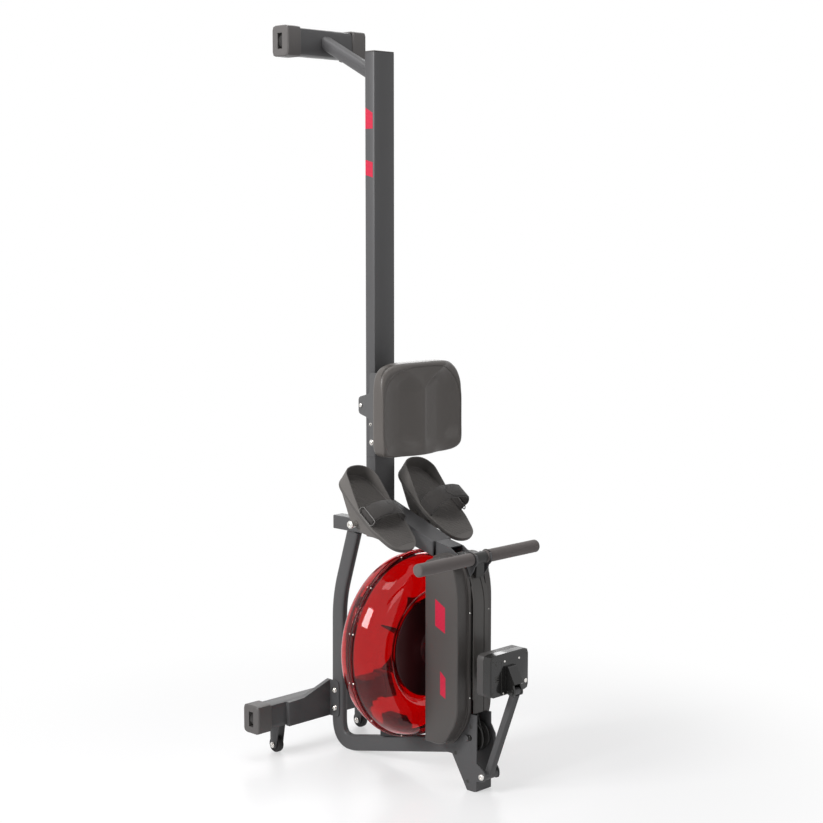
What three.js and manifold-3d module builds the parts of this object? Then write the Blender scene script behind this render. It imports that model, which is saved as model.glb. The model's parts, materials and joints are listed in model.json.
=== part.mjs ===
// Water rowing machine, stored upright on its front end.
// Millimetres. +X runs across the machine, +Z is up as it stands, and -Y is the side that is the
// top of the machine in use. The origin is the middle of the front bracket's foot, on the floor.

import * as THREE from 'three';
import { mergeVertices } from 'three/addons/utils/BufferGeometryUtils.js';
import Module from 'manifold-3d';

const wasm = await Module();
wasm.setup();

// Driving dimensions
const gap = 0.3; // between pieces that touch
const overrun = 5; // how far a cutter passes the faces that it opens
const weld = 1; // how far welded or moulded parts of one piece run into each other
const sheet = 3; // bent steel sheet

const rail = { width: 76, depth: 36, front: 344, corner: 4, wall: 2, bottom: 628, seam: 848, top: 1924 };
rail.back = rail.front + rail.depth;
rail.middle = rail.front + rail.depth / 2;

const tank = {
  radius: 254, height: 353, flange: 224, wall: 4, lip: 4, seal: 3, frontDepth: 76, backDepth: 67,
};
tank.front = tank.flange - tank.frontDepth;
tank.back = tank.flange + tank.backDepth;
tank.bottom = tank.height - tank.radius;

const stabiliser = { y: 594, depth: 56, corner: 13, wall: 2 };
stabiliser.face = stabiliser.y - stabiliser.depth / 2;
const rearStabiliser = { half: 146, height: 74 };
rearStabiliser.z = rail.top + rearStabiliser.height / 2;
const frontStabiliser = { half: 273, height: 72, z: 120 };

const bracket = { inner: 25.9, front: -20, back: 108 };
bracket.outer = bracket.inner + sheet;

// Materials
const finish = (
  color, roughness, metalness = 0,
) => new THREE.MeshStandardMaterial({ color, roughness, metalness });
const framePaint = () => finish(0x3a3838, 0.45, 0.3);
const blackPaint = () => finish(0x1d1c1c, 0.5, 0.2);
const casingPlastic = () => finish(0x4b4745, 0.45);
const capPlastic = () => finish(0x5c5857, 0.55);
const blackPlastic = () => finish(0x222120, 0.5);
const glossPlastic = () => finish(0x151515, 0.2);
const rubber = () => finish(0x1a1a1a, 0.85);
const foam = () => finish(0x45423f, 0.9);
const webbing = () => finish(0x2b2827, 0.9);
const skin = () => finish(0x4a4643, 0.6);
const zinc = () => finish(0xc9c6bf, 0.3, 0.9);
const steel = () => finish(0x9a9a9a, 0.35, 0.9);

function redTank() {
  const material = finish(0xd20a14, 0.08);
  material.transparent = true;
  material.opacity = 0.45;
  return material;
}

// A skin whose faces look inward is turned to look outward
function facingOut(geometry) {
  const flat = geometry.index ? geometry.toNonIndexed() : geometry;
  const p = flat.attributes.position;
  const [a, b, c] = [new THREE.Vector3(), new THREE.Vector3(), new THREE.Vector3()];
  let volume = 0;
  for (let i = 0; i < p.count; i += 3) {
    a.fromBufferAttribute(p, i);
    b.fromBufferAttribute(p, i + 1);
    c.fromBufferAttribute(p, i + 2);
    volume += a.dot(b.clone().cross(c));
  }
  if (volume < 0) {
    for (let i = 0; i < p.count; i += 3) {
      a.fromBufferAttribute(p, i);
      b.fromBufferAttribute(p, i + 1);
      p.setXYZ(i, b.x, b.y, b.z);
      p.setXYZ(i + 1, a.x, a.y, a.z);
    }
  }
  flat.computeVertexNormals();
  return flat;
}

// Joins and cuts
function solid(geometry) {
  const bare = geometry.clone();
  bare.deleteAttribute('normal');
  bare.deleteAttribute('uv');
  const merged = mergeVertices(bare);
  const vertProperties = new Float32Array(merged.attributes.position.array);
  const triVerts = new Uint32Array(merged.index.array);
  return new wasm.Manifold(new wasm.Mesh({ numProp: 3, vertProperties, triVerts }));
}

function geometryOf(manifold) {
  const mesh = manifold.getMesh();
  const position = Array.from(mesh.vertProperties);
  const geometry = new THREE.BufferGeometry();
  geometry.setAttribute('position', new THREE.Float32BufferAttribute(position, mesh.numProp));
  geometry.setIndex(Array.from(mesh.triVerts));
  const flat = geometry.toNonIndexed();
  flat.computeVertexNormals();
  return flat;
}

const join = (...parts) => geometryOf(parts.map(solid).reduce((sum, part) => sum.add(part)));
const cut = (...parts) => geometryOf(parts.map(solid).reduce((rest, tool) => rest.subtract(tool)));

// Plain shapes
function block(x0, x1, y0, y1, z0, z1) {
  const geometry = new THREE.BoxGeometry(Math.abs(x1 - x0), Math.abs(y1 - y0), Math.abs(z1 - z0));
  return geometry.translate((x0 + x1) / 2, (y0 + y1) / 2, (z0 + z1) / 2);
}

// A cylinder along one axis between two ends, at (a, b) on the other two axes
function rod(axis, from, to, a, b, radius, sides = 12) {
  const geometry = new THREE.CylinderGeometry(radius, radius, Math.abs(to - from), sides);
  const middle = (from + to) / 2;
  if (axis === 'x') return geometry.rotateZ(-Math.PI / 2).translate(middle, a, b);
  return geometry.translate(a, middle, b);
}

// A pin along X with a head beyond each end of what it passes through
function pinX(half, y, z, radius, headRadius, head) {
  const ends = [-1, 1].map((side) => rod('x', side * half, side * (half + head), y, z, headRadius));
  return join(rod('x', -half - weld, half + weld, y, z, radius), ...ends);
}

// A closed outline with rounded corners; a point is [u, v] or [u, v, radius]
function outline(points) {
  const shape = new THREE.Shape();
  points.forEach(([u, v, radius = 0], i) => {
    const here = new THREE.Vector2(u, v);
    const back = new THREE.Vector2(...points.at(i - 1).slice(0, 2)).sub(here);
    const on = new THREE.Vector2(...points[(i + 1) % points.length].slice(0, 2)).sub(here);
    const round = Math.min(radius, back.length() * 0.49, on.length() * 0.49);
    const start = here.clone().addScaledVector(back.normalize(), round);
    const end = here.clone().addScaledVector(on.normalize(), round);
    if (i === 0) shape.moveTo(start.x, start.y);
    else shape.lineTo(start.x, start.y);
    if (round > 0) shape.quadraticCurveTo(here.x, here.y, end.x, end.y);
  });
  shape.closePath();
  return shape;
}

function rectangle(width, height, corner = 0) {
  const [u, v] = [width / 2, height / 2];
  return outline([[-u, -v, corner], [u, -v, corner], [u, v, corner], [-u, v, corner]]);
}

function withHole(shape, hole, segments = 2) {
  shape.holes.push(new THREE.Path(hole.getPoints(segments).reverse()));
  return shape;
}

// A prism upward from z = 0, whose two ends may be bevelled within its outline
function prism(shape, depth, segments = 2, bevel = 0) {
  const settings = { depth: depth - 2 * bevel, curveSegments: segments, bevelEnabled: bevel > 0 };
  Object.assign(
    settings, { bevelSegments: 1, bevelThickness: bevel, bevelSize: bevel, bevelOffset: -bevel },
  );
  return new THREE.ExtrudeGeometry(shape, settings).translate(0, 0, bevel);
}

// Prisms between two places on an axis: (u, v) is (y, z) along X, (x, z) along Y and (x, y) along Z
function prismX(shape, x0, x1, segments, bevel) {
  const basis = [new THREE.Vector3(0, 1, 0), new THREE.Vector3(0, 0, 1), new THREE.Vector3(1, 0, 0)];
  const turn = new THREE.Matrix4().makeBasis(...basis);
  return prism(
    shape, Math.abs(x1 - x0), segments, bevel,
  ).applyMatrix4(turn).translate(Math.min(x0, x1), 0, 0);
}

function prismY(shape, y0, y1, segments, bevel) {
  return prism(shape, y1 - y0, segments, bevel).rotateX(Math.PI / 2).translate(0, y1, 0);
}

function prismZ(shape, z0, z1, segments, bevel) {
  return prism(shape, z1 - z0, segments, bevel).translate(0, 0, z0);
}

// A closed skin over rings that have the same number of points
function loft(rings) {
  const count = rings[0].length;
  const points = rings.flat();
  const index = [];
  for (let k = 0; k + 1 < rings.length; k += 1) {
    for (let i = 0; i < count; i += 1) {
      const [a, b] = [k * count + i, k * count + ((i + 1) % count)];
      index.push(a, b, b + count, a, b + count, a + count);
    }
  }
  [0, rings.length - 1].forEach((k) => {
    const tip = rings[k].reduce((sum, p) => sum.addScaledVector(p, 1 / count), new THREE.Vector3());
    for (let i = 0; i < count; i += 1) {
      const [a, b] = [k * count + i, k * count + ((i + 1) % count)];
      index.push(...(k === 0 ? [b, a] : [a, b]), points.length);
    }
    points.push(tip);
  });
  const geometry = new THREE.BufferGeometry().setFromPoints(points);
  geometry.setIndex(index);
  return facingOut(geometry);
}

// The points of a rectangle as a ring for loft and sweep
function ringOf(width, height, corner, segments = 1) {
  const points = rectangle(width, height, corner).getPoints(segments).slice(0, -1);
  return points.map((p) => [p.x, p.y]);
}

// A section swept along points of the YZ plane and mitred at each of them
function sweep(path, section) {
  const across = new THREE.Vector3(1, 0, 0);
  const points = path.map(([y, z]) => new THREE.Vector3(0, y, z));
  const steps = points.slice(1).map((p, i) => p.clone().sub(points[i]).normalize());
  return loft(points.map((here, i) => {
    const [behind, ahead] = [steps[Math.max(0, i - 1)], steps[Math.min(i, steps.length - 1)]];
    const along = ahead.clone().add(behind).normalize();
    const side = new THREE.Vector3().crossVectors(across, along).multiplyScalar(1 / along.dot(ahead));
    return section.map(([u, v]) => here.clone().addScaledVector(across, u).addScaledVector(side, v));
  }));
}

// A path in the YZ plane whose corners are arcs; a point is [y, z] or [y, z, radius]
function bend(points, steps = 4) {
  return points.flatMap(([y, z, radius], i) => {
    if (!radius) return [[y, z]];
    const here = new THREE.Vector2(y, z);
    const back = new THREE.Vector2(...points[i - 1].slice(0, 2)).sub(here).normalize();
    const on = new THREE.Vector2(...points[i + 1].slice(0, 2)).sub(here).normalize();
    const half = Math.acos(back.dot(on)) / 2;
    const inward = back.clone().add(on).normalize();
    const centre = here.clone().addScaledVector(inward, radius / Math.sin(half));
    const first = here.clone().addScaledVector(back, radius / Math.tan(half)).sub(centre);
    const last = here.clone().addScaledVector(on, radius / Math.tan(half)).sub(centre);
    const turn = Math.atan2(first.cross(last), first.dot(last));
    return Array.from({ length: steps + 1 }, (_, k) => {
      const spot = first.clone().rotateAround(new THREE.Vector2(), (turn * k) / steps).add(centre);
      return [spot.x, spot.y];
    });
  });
}

// A body turned about the tank's axis; a profile point is [radius, y]
function turnedY(profile, sides = 28) {
  const points = [...profile, profile[0]].map(([radius, y]) => new THREE.Vector2(radius, y));
  return facingOut(new THREE.LatheGeometry(points, sides)).translate(0, 0, tank.height);
}

// A body turned about an axis along X; a profile point is [radius, x]
function turnedX(profile, y, z, sides = 20) {
  const points = [...profile, profile[0]].map(([radius, x]) => new THREE.Vector2(radius, x));
  return facingOut(new THREE.LatheGeometry(points, sides).rotateZ(-Math.PI / 2)).translate(0, y, z);
}

// The open line of a wall's other face, a wall's thickness to the left of the way it runs
function offsetLine(line, distance) {
  return line.map(([u, v], i) => {
    const [before, after] = [line[Math.max(0, i - 1)], line[Math.min(line.length - 1, i + 1)]];
    const along = new THREE.Vector2(after[0] - before[0], after[1] - before[1]).normalize();
    return [u - along.y * distance, v + along.x * distance];
  });
}

const machine = new THREE.Group();
const sides = [['near', -1], ['far', 1]];

function add(name, geometry, material) {
  const mesh = new THREE.Mesh(geometry, material);
  mesh.name = name;
  machine.add(mesh);
}

// Beam and rail: a flat tube in two lengths, joined by a spigot, with a cap in its top end
function beamTube(z0, z1) {
  const outer = rectangle(rail.width, rail.depth, rail.corner);
  const inner = rectangle(rail.width - 2 * rail.wall, rail.depth - 2 * rail.wall, rail.corner - rail.wall);
  return prismZ(withHole(outer, inner), z0, z1).translate(0, rail.middle, 0);
}

function plugOutline() {
  const clear = 2 * (rail.wall + gap);
  return rectangle(rail.width - clear, rail.depth - clear, rail.corner - rail.wall);
}

function buildBeam() {
  const spigot = { reach: 80, wall: 3, weldLength: 20 };
  const clear = 2 * (rail.wall + gap + spigot.wall);
  const bore = rectangle(rail.width - clear, rail.depth - clear);
  const tube = prismZ(withHole(plugOutline(), bore), rail.seam - spigot.reach, rail.seam + spigot.reach);
  const seam = rectangle(rail.width - rail.wall, rail.depth - rail.wall, rail.corner);
  const weldTop = rail.seam - spigot.weldLength;
  const ring = prismZ(withHole(seam, bore), weldTop - spigot.weldLength, weldTop);
  const lower = beamTube(rail.bottom, rail.seam - gap);
  add(
    'lower_beam', join(lower, tube.translate(0, rail.middle, 0), ring.translate(0, rail.middle, 0)),
    framePaint(),
  );
  add('seat_rail', beamTube(rail.seam, rail.top), framePaint());
}

function buildRailCap() {
  const cap = { plate: 3, plug: 20 };
  const plateLow = rail.top + gap;
  const plate = prismZ(rectangle(rail.width, rail.depth, rail.corner), plateLow, plateLow + cap.plate);
  const plug = prismZ(plugOutline(), rail.top - cap.plug, plateLow + weld);
  add('rail_end_cap', join(plate, plug).translate(0, rail.middle, 0), capPlastic());
}

// Ends of both stabilisers: a moulded cap with a levelling wheel in a slot
const endCap = { length: 50, side: 4, bulge: 3, corner: 12, wall: 3, slotHeight: 42, slotWidth: 18 };
const leveller = { radius: 20, width: 16, inset: 22, stem: 5, pad: 13, padThickness: 5 };
leveller.out = stabiliser.y + stabiliser.depth / 2 + endCap.side;

function buildEnd(place, name, side, { half, height, z }) {
  const [end, root] = [side * half, side * (half - endCap.length)];
  const across = stabiliser.depth + 2 * endCap.side;
  const shape = rectangle(across, height + 2 * endCap.side, endCap.corner);
  const body = prismX(shape, root, end, 2, endCap.bulge).translate(0, stabiliser.y, z);
  const x = end - side * leveller.inset;
  const [slotY, slotZ] = [endCap.slotWidth / 2, endCap.slotHeight / 2];
  const bottom = x - side * (leveller.radius + 2 * gap);
  const slot = block(
    bottom, end + side * overrun, stabiliser.y - slotY, stabiliser.y + slotY, z - slotZ, z + slotZ,
  );
  const stemHole = rod('y', stabiliser.y, leveller.out + overrun, x, z, leveller.stem + gap);
  const padLow = leveller.out - leveller.padThickness;
  const padHole = rod('y', padLow - gap, leveller.out + overrun, x, z, leveller.pad + gap, 16);
  const [y0, y1] = [stabiliser.y - stabiliser.depth / 2, stabiliser.y + stabiliser.depth / 2];
  const socket = block(
    root - side * overrun, bottom - side * endCap.wall, y0, y1, z - height / 2, z + height / 2,
  );
  add(`${place}_end_cap_${name}`, cut(body, slot, stemHole, padHole, socket), capPlastic());
  const disc = rod(
    'y', stabiliser.y - leveller.width / 2, stabiliser.y + leveller.width / 2, x, z, leveller.radius, 20,
  );
  const stem = rod('y', stabiliser.y, padLow + weld, x, z, leveller.stem);
  const pad = rod('y', padLow, leveller.out, x, z, leveller.pad, 16);
  add(`${place}_level_wheel_${name}`, join(disc, stem, pad), blackPlastic());
}

// The tube of a stabiliser and the space inside it, between the bottoms of its caps' sockets
function stabiliserTube({ half, height, z }) {
  const reach = half - endCap.length - gap;
  const outer = rectangle(stabiliser.depth, height, stabiliser.corner);
  const wall = 2 * stabiliser.wall;
  const inner = rectangle(stabiliser.depth - wall, height - wall, stabiliser.corner - stabiliser.wall);
  const tube = prismX(outer, -reach, reach).translate(0, stabiliser.y, z);
  const bore = prismX(inner, -reach - overrun, reach + overrun).translate(0, stabiliser.y, z);
  return { tube, bore };
}

function buildRearStabiliser() {
  const { tube, bore } = stabiliserTube(rearStabiliser);
  add('rear_stabiliser', cut(tube, bore), framePaint());
  sides.forEach(([name, side]) => buildEnd('rear', name, side, rearStabiliser));
}

// The leg slants from a plate on the rail's back up to the rear stabiliser, with upright ends
const leg = { width: 40, height: 38, corner: 15, drop: 57 };
leg.foot = rail.top - leg.drop;
const legPlate = { width: 60, thickness: 4, height: 106, drop: 16 };
legPlate.z = rail.top - legPlate.drop - legPlate.height / 2;

function buildRearLeg() {
  const [y0, y1] = [rail.back + gap, stabiliser.face - gap];
  const bar = prismY(rectangle(leg.width, leg.height, leg.corner), y0, y1, 3);
  const slope = (rearStabiliser.z - leg.foot) / (y1 - y0);
  const p = bar.attributes.position;
  for (let i = 0; i < p.count; i += 1) p.setZ(i, p.getZ(i) + leg.foot + slope * (p.getY(i) - y0));
  const base = prismY(
    rectangle(legPlate.width, legPlate.height, legPlate.thickness), y0, y0 + legPlate.thickness,
  );
  add('rear_leg', join(bar, base.translate(0, 0, legPlate.z)), framePaint());
}

// The seat's roller behind the rail runs between two rubber stops
const backRoller = { radius: 8, z: 987, pin: 3 };
backRoller.y = rail.back + gap + backRoller.radius;

const railStop = { width: 40, height: 13, thickness: 9, lead: 3, drop: 148.7 };

function buildStops() {
  const reach = backRoller.radius + gap;
  const places = [['lower', backRoller.z - reach - railStop.height], ['upper', rail.top - railStop.drop]];
  places.forEach(([name, z]) => {
    const [t, h] = [railStop.thickness, railStop.height];
    const shape = outline([[0, 0], [t, railStop.lead], [t, h - railStop.lead], [0, h]]);
    add(
      `rail_stop_${name}`,
      prismX(shape, -railStop.width / 2, railStop.width / 2).translate(0, rail.back + gap, z), rubber(),
    );
  });
}

// Frame tube: from under the beam down behind the tank and forward along the floor to the bracket
const frameTube = { width: 22, depth: 45, corner: 8, wall: 2, y: 528, slopeShare: 0.215, tankClear: 1.2 };
frameTube.reach = (frameTube.depth / 2) * Math.hypot(1, frameTube.slopeShare);
const lineStart = {
  y: tank.flange - tank.lip - tank.seal, z: tank.bottom - frameTube.tankClear - frameTube.reach,
};
const tubeLine = (y) => lineStart.z - (y - lineStart.y) * frameTube.slopeShare;
const wingBolt = { radius: 4, back: 7, low: 110, high: 161 };
wingBolt.y = frameTube.y + wingBolt.back;

const knee = { lean: 3, drop: 198, radius: 60 };
knee.y = frameTube.y - knee.lean;
knee.z = rail.bottom - knee.drop;

function buildFrameTube() {
  const elbow = { radius: 74 };
  const top = { reach: 83, z: rail.bottom };
  top.y = rail.back + top.reach;
  const stub = { width: 38, height: 38, past: 2 };
  stub.back = frameTube.y + stub.past;
  stub.z = rail.bottom + stub.height / 2;
  const front = { y: 64, lug: 34, lugInset: 3 };
  const foot = [frameTube.y, tubeLine(frameTube.y), elbow.radius];
  const line = bend([[top.y, top.z], [knee.y, knee.z, knee.radius], foot, [front.y, tubeLine(front.y)]]);
  const outer = sweep(line, ringOf(frameTube.width, frameTube.depth, frameTube.corner, 2));
  const wall = 2 * frameTube.wall;
  const section = ringOf(frameTube.width - wall, frameTube.depth - wall, frameTube.corner - frameTube.wall);
  const slant = (top.y - knee.y) / (top.z - knee.z);
  const upper = [top.y + overrun * slant, top.z + overrun];
  const ahead = [front.y - overrun, tubeLine(front.y - overrun)];
  const inner = sweep([upper, ...line.slice(1, -1), ahead], section);
  const lugHalf = bracket.inner - gap;
  const lugZ = tubeLine(front.y + front.lug / 2);
  const lugReach = frameTube.depth / 2 - front.lugInset;
  const lug = block(
    -lugHalf, lugHalf, front.y + weld, front.y + front.lug, lugZ - lugReach, lugZ + lugReach,
  );
  const shape = rectangle(stub.width, stub.height, rail.corner);
  const arm = prismY(shape, rail.back + gap, stub.back).translate(0, 0, stub.z);
  const holes = [wingBolt.low, wingBolt.high].map((z) => (
    rod('x', -frameTube.width, frameTube.width, wingBolt.y, z, wingBolt.radius + gap)));
  add('frame_tube', join(cut(join(outer, lug), inner, ...holes), arm), framePaint());
}

// Front stabiliser with its wing bracket and wheel forks, one welding, and the transport wheels
const wheel = { radius: 22.5, width: 18, inset: 109, lead: 19, pin: 5, tread: 5 };
wheel.x = frontStabiliser.half - wheel.inset;
wheel.y = stabiliser.y + wheel.lead;
const fork = { wall: 3, clear: 1, frontReach: 24, backReach: 12, eye: 11 };

const wing = { inset: 105, root: 113, low: 86, top: 190, flange: 37, round: 12 };
wing.span = frontStabiliser.half - wing.inset;

function wingParts(side) {
  const tubeTop = frontStabiliser.z + frontStabiliser.height / 2;
  const inner = side * (frameTube.width / 2 + gap);
  const back = frameTube.y + frameTube.depth / 2 + sheet;
  const plate = outline([
    [inner, wing.low], [side * wing.span, wing.low], [side * wing.span, tubeTop - stabiliser.wall],
    [side * wing.root, tubeTop], [inner, wing.top],
  ]);
  const front = back - wing.flange;
  const flange = outline([
    [back + weld, wing.low], [back + weld, wing.top], [front, wing.top, wing.round],
    [front, wing.low, wing.round],
  ]);
  return [prismY(plate, back, stabiliser.face + weld), prismX(flange, inner, inner + side * sheet)];
}

function forkParts(side) {
  const top = frontStabiliser.z - frontStabiliser.height / 2 + stabiliser.wall;
  const x = side * wheel.x;
  const inner = wheel.width / 2 + fork.clear;
  const outer = inner + fork.wall;
  const eye = outline([
    [wheel.y - fork.frontReach, top], [wheel.y + fork.backReach, top],
    [wheel.y + fork.eye, wheel.radius - fork.eye, fork.eye],
    [wheel.y - fork.eye, wheel.radius - fork.eye, fork.eye],
  ]);
  const arms = [-1, 1].map((edge) => prismX(eye, x + edge * inner, x + edge * outer));
  const [y0, y1] = [wheel.y - fork.frontReach, wheel.y + fork.backReach];
  const crown = block(x - outer, x + outer, y0, y1, top - fork.wall, top);
  return [
    ...arms, crown,
    rod('x', x - outer - fork.wall, x + outer + fork.wall, wheel.y, wheel.radius, wheel.pin),
  ];
}

function buildFrontStabiliser() {
  const { tube, bore } = stabiliserTube(frontStabiliser);
  const added = sides.flatMap(([, side]) => [...wingParts(side), ...forkParts(side)]);
  const reach = frameTube.width / 2 + gap + sheet + overrun;
  const holes = [wingBolt.low, wingBolt.high].map((z) => (
    rod('x', -reach, reach, wingBolt.y, z, wingBolt.radius + gap)));
  add('front_stabiliser', cut(join(tube, ...added), bore, ...holes), framePaint());
  sides.forEach(([name, side]) => {
    buildEnd('front', name, side, frontStabiliser);
    const [half, eyeRadius] = [wheel.width / 2, wheel.pin + gap];
    const shoulder = wheel.radius - wheel.tread;
    const edge = half - wheel.tread / 2;
    const profile = [
      [eyeRadius, -half], [shoulder, -half], [wheel.radius, -edge], [wheel.radius, edge], [shoulder, half],
      [eyeRadius, half],
    ];
    const tyre = turnedX(profile, wheel.y, wheel.radius).translate(side * wheel.x, 0, 0);
    add(`transport_wheel_${name}`, tyre, rubber());
  });
}

// Neck: a tapering box from the beam to the strap's outlet between two cheeks
const outlet = { y: 68, aboveTank: 259, radius: 8, pin: 3, mouthFront: 48, mouthBack: 78, rise: 8 };
outlet.z = tank.height + outlet.aboveTank;
const neck = {
  wide: 36, narrow: bracket.inner - gap, step: 131, depth: 40, bevel: 2, slopeShare: 0.37, rootShare: 1.6,
};
neck.top = (y) => outlet.z + outlet.radius / 2 + (y - outlet.mouthFront) * neck.slopeShare;
const footAxle = { y: 290, aboveTank: 337, radius: 8, head: 6, headRadius: 10.5 };
footAxle.z = tank.height + footAxle.aboveTank;

function buildNeck() {
  const back = rail.front - gap;
  const { top, depth } = neck;
  const [front, mouth] = [outlet.mouthFront, outlet.mouthBack];
  const box = outline([
    [neck.step, top(neck.step) - depth], [back, top(back) - depth * neck.rootShare], [back, top(back)],
    [neck.step, top(neck.step)],
  ]);
  const into = neck.step + weld;
  const cheeks = outline([
    [into, top(neck.step) - depth], [mouth, top(mouth) - depth], [front, top(front) - depth / 2],
    [front, top(front)], [mouth, top(mouth) + outlet.rise], [into, top(neck.step)],
  ]);
  const wide = prismX(box, -neck.wide, neck.wide, 2, neck.bevel);
  const slim = prismX(cheeks, -neck.narrow, neck.narrow);
  const end = neck.step - 2 * overrun;
  const throat = outline([
    [front - overrun, top(front) - depth - 2 * overrun], [end, top(end) - depth - overrun],
    [end, top(end) - sheet],
    [mouth + overrun, top(mouth) + outlet.rise - sheet], [mouth, top(mouth) + outlet.rise + overrun],
    [front - overrun, top(front) + overrun],
  ]);
  const space = prismX(throat, sheet - neck.narrow, neck.narrow - sheet);
  const through = neck.wide + overrun;
  const journal = rod('x', -through, through, outlet.y, outlet.z, outlet.pin + gap);
  const axle = rod('x', -through, through, footAxle.y, footAxle.z, footAxle.radius + gap, 24);
  add('neck', cut(join(wide, slim), space, journal, axle), framePaint());
}

function buildOutletRoller() {
  const face = neck.narrow - sheet - gap;
  const barrel = rod('x', -face, face, outlet.y, outlet.z, outlet.radius, 20);
  const pin = rod('x', -neck.narrow, neck.narrow, outlet.y, outlet.z, outlet.pin);
  add('outlet_roller', join(barrel, pin), steel());
}

// Front bracket: two plates, a web and a foot, hooks for the handle and the plate that carries the tank
const drum = { front: 52, back: 104, flange: 34, wall: 3, cordRadius: 20, strapRadius: 24, split: 70 };
const pulley = {
  y: 14, z: 140, radius: 42, groove: 23, width: 26, rim: 3, grooveHalf: 5, pin: 5, head: 4, headRadius: 8,
};
const handle = { y: 2, aboveTank: 263, half: 230, grip: 17, bar: 12.5 };
handle.z = tank.height + handle.aboveTank;
const hook = { wall: 6, mouth: 12 };
hook.outer = handle.grip + hook.wall;
const armPivot = { y: -38, z: 46, pin: 5, head: 5, headRadius: 9 };
const tankPlate = { half: 62, height: 182, corner: 10, bore: 40 };

const bracketFoot = {
  front: 8, back: 13, knee: 72, kneeTop: 96, backLow: 112, frontTop: 206, coverBack: 18,
};

function bracketOutline(name) {
  const notch = { clear: 4, room: 14, round: 6 };
  notch.front = drum.front - notch.clear;
  notch.half = drum.flange + notch.room;
  const hanger = { lowDrop: 61, bendDrop: 31, bendY: 6, lip: 12, lipBack: 14, ledgeRise: 2, backDrop: 56 };
  hanger.low = handle.z - hanger.lowDrop;
  hanger.bend = handle.z - hanger.bendDrop;
  hanger.ledge = handle.z + hanger.ledgeRise;
  hanger.backTop = handle.z - hanger.backDrop;
  const ear = {
    radius: 9, reach: 12, top: 78, low: 30, bulge: 16, bulgeTop: 150, bulgeLow: 74, shoulder: 176,
  };
  const { front, back } = bracket;
  const tip = armPivot.y - ear.reach;
  const ears = {
    near: [[front, ear.top]],
    far: [[front, ear.shoulder], [front - ear.bulge, ear.bulgeTop], [front - ear.bulge, ear.bulgeLow]],
  };
  return outline([
    [front, 0, bracketFoot.front], [bracketFoot.back, 0], [
      bracketFoot.knee, bracketFoot.kneeTop,
    ], [back, bracketFoot.backLow],
    [back, tank.height - notch.half], [notch.front, tank.height - notch.half, notch.round],
    [notch.front, tank.height + notch.half, notch.round], [back, tank.height + notch.half],
    [back, hanger.backTop],
    [outlet.mouthBack, outlet.z + neck.depth / 3], [outlet.mouthFront, hanger.ledge],
    [handle.y + hook.outer, hanger.ledge], [handle.y, handle.z],
    [handle.y - hanger.lipBack, handle.z - hanger.lip],
    [-hanger.bendY, hanger.bend], [bracketFoot.coverBack, hanger.low], [
      bracketFoot.coverBack, bracketFoot.frontTop,
    ],
    [front, bracketFoot.frontTop],
    ...ears[name], [tip, armPivot.z + ear.reach, ear.radius], [tip, armPivot.z - ear.reach, ear.radius],
    [front, ear.low],
  ]);
}

function hookBand(side) {
  const ring = [[hook.outer, 0], [hook.outer, sheet], [handle.grip + gap, sheet], [handle.grip + gap, 0]];
  const band = turnedX(ring, handle.y, handle.z, 24).translate(
    side < 0 ? -bracket.outer : bracket.inner, 0, 0,
  );
  const reach = hook.outer + overrun;
  const [x0, x1] = [side * (bracket.inner - overrun), side * (bracket.outer + overrun)];
  const low = handle.z + hook.mouth;
  return cut(band, block(x0, x1, handle.y - reach, handle.y + reach, low, low + reach));
}

function buildBracket() {
  const plates = sides.map(
    ([name, side]) => prismX(bracketOutline(name), side * bracket.inner, side * bracket.outer)
  );
  const web = { low: 2, top: 32 };
  const solePlate = { reach: 13 };
  const { outer, front, back } = bracket;
  const webPlate = block(-outer, outer, front, front + sheet, web.low, web.top);
  const sole = block(-outer, outer, -solePlate.reach, solePlate.reach, 0, sheet);
  const face = rectangle(2 * tankPlate.half, tankPlate.height, tankPlate.corner);
  const carrier = prismY(face, back - weld, back + sheet).translate(0, 0, tank.height);
  const pulleyPin = pinX(
    outer - weld, pulley.y, pulley.z, pulley.pin, pulley.headRadius, pulley.head + weld,
  );
  const hooks = sides.map(([, side]) => hookBand(side));
  const through = outer + overrun;
  const hub = rod('y', back - overrun, back + sheet + overrun, 0, tank.height, tankPlate.bore + gap, 28);
  const grip = rod('x', -through, through, handle.y, handle.z, handle.grip + gap, 24);
  const pivot = rod('x', -through, through, armPivot.y, armPivot.z, armPivot.pin + gap);
  const body = join(...plates, webPlate, sole, carrier, pulleyPin, ...hooks);
  add('front_bracket', cut(body, hub, grip, pivot), blackPaint());
}

// Tank: two moulded shells on a seal, their hub, and the paddle that turns inside on the drum's shaft
const shaft = { radius: 8, front: 56, inset: 5 };
shaft.back = tank.back - shaft.inset;
const hub = { disc: 138, boss: 14.3, recess: 47, neck: 48, neckDepth: 57, reach: 40, plate: 7, rim: 3 };
hub.rear = tank.flange - hub.reach;
const bearing = { radius: 20, depth: 16 };
const frontBulgeShares = [
  [0.972, 0.29], [0.945, 0.59], [0.89, 0.83], [0.811, 0.96], [0.724, 1], [0.646, 0.95], [0.583, 0.78],
];
const backBulgeShares = [[0.972, 0.33], [0.937, 0.66], [0.866, 0.89], [0.772, 1]];
const plug = { x: -149, rise: 123, radius: 13, rim: 4, rimHeight: 5, depth: 5 };

function shellLine(shares, y0, depth, inner) {
  const edge = tank.radius - tank.lip - weld;
  const bulge = shares.map(([r, d]) => [r * tank.radius, y0 + d * depth]);
  return [[edge, y0], ...bulge, ...inner];
}

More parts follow.
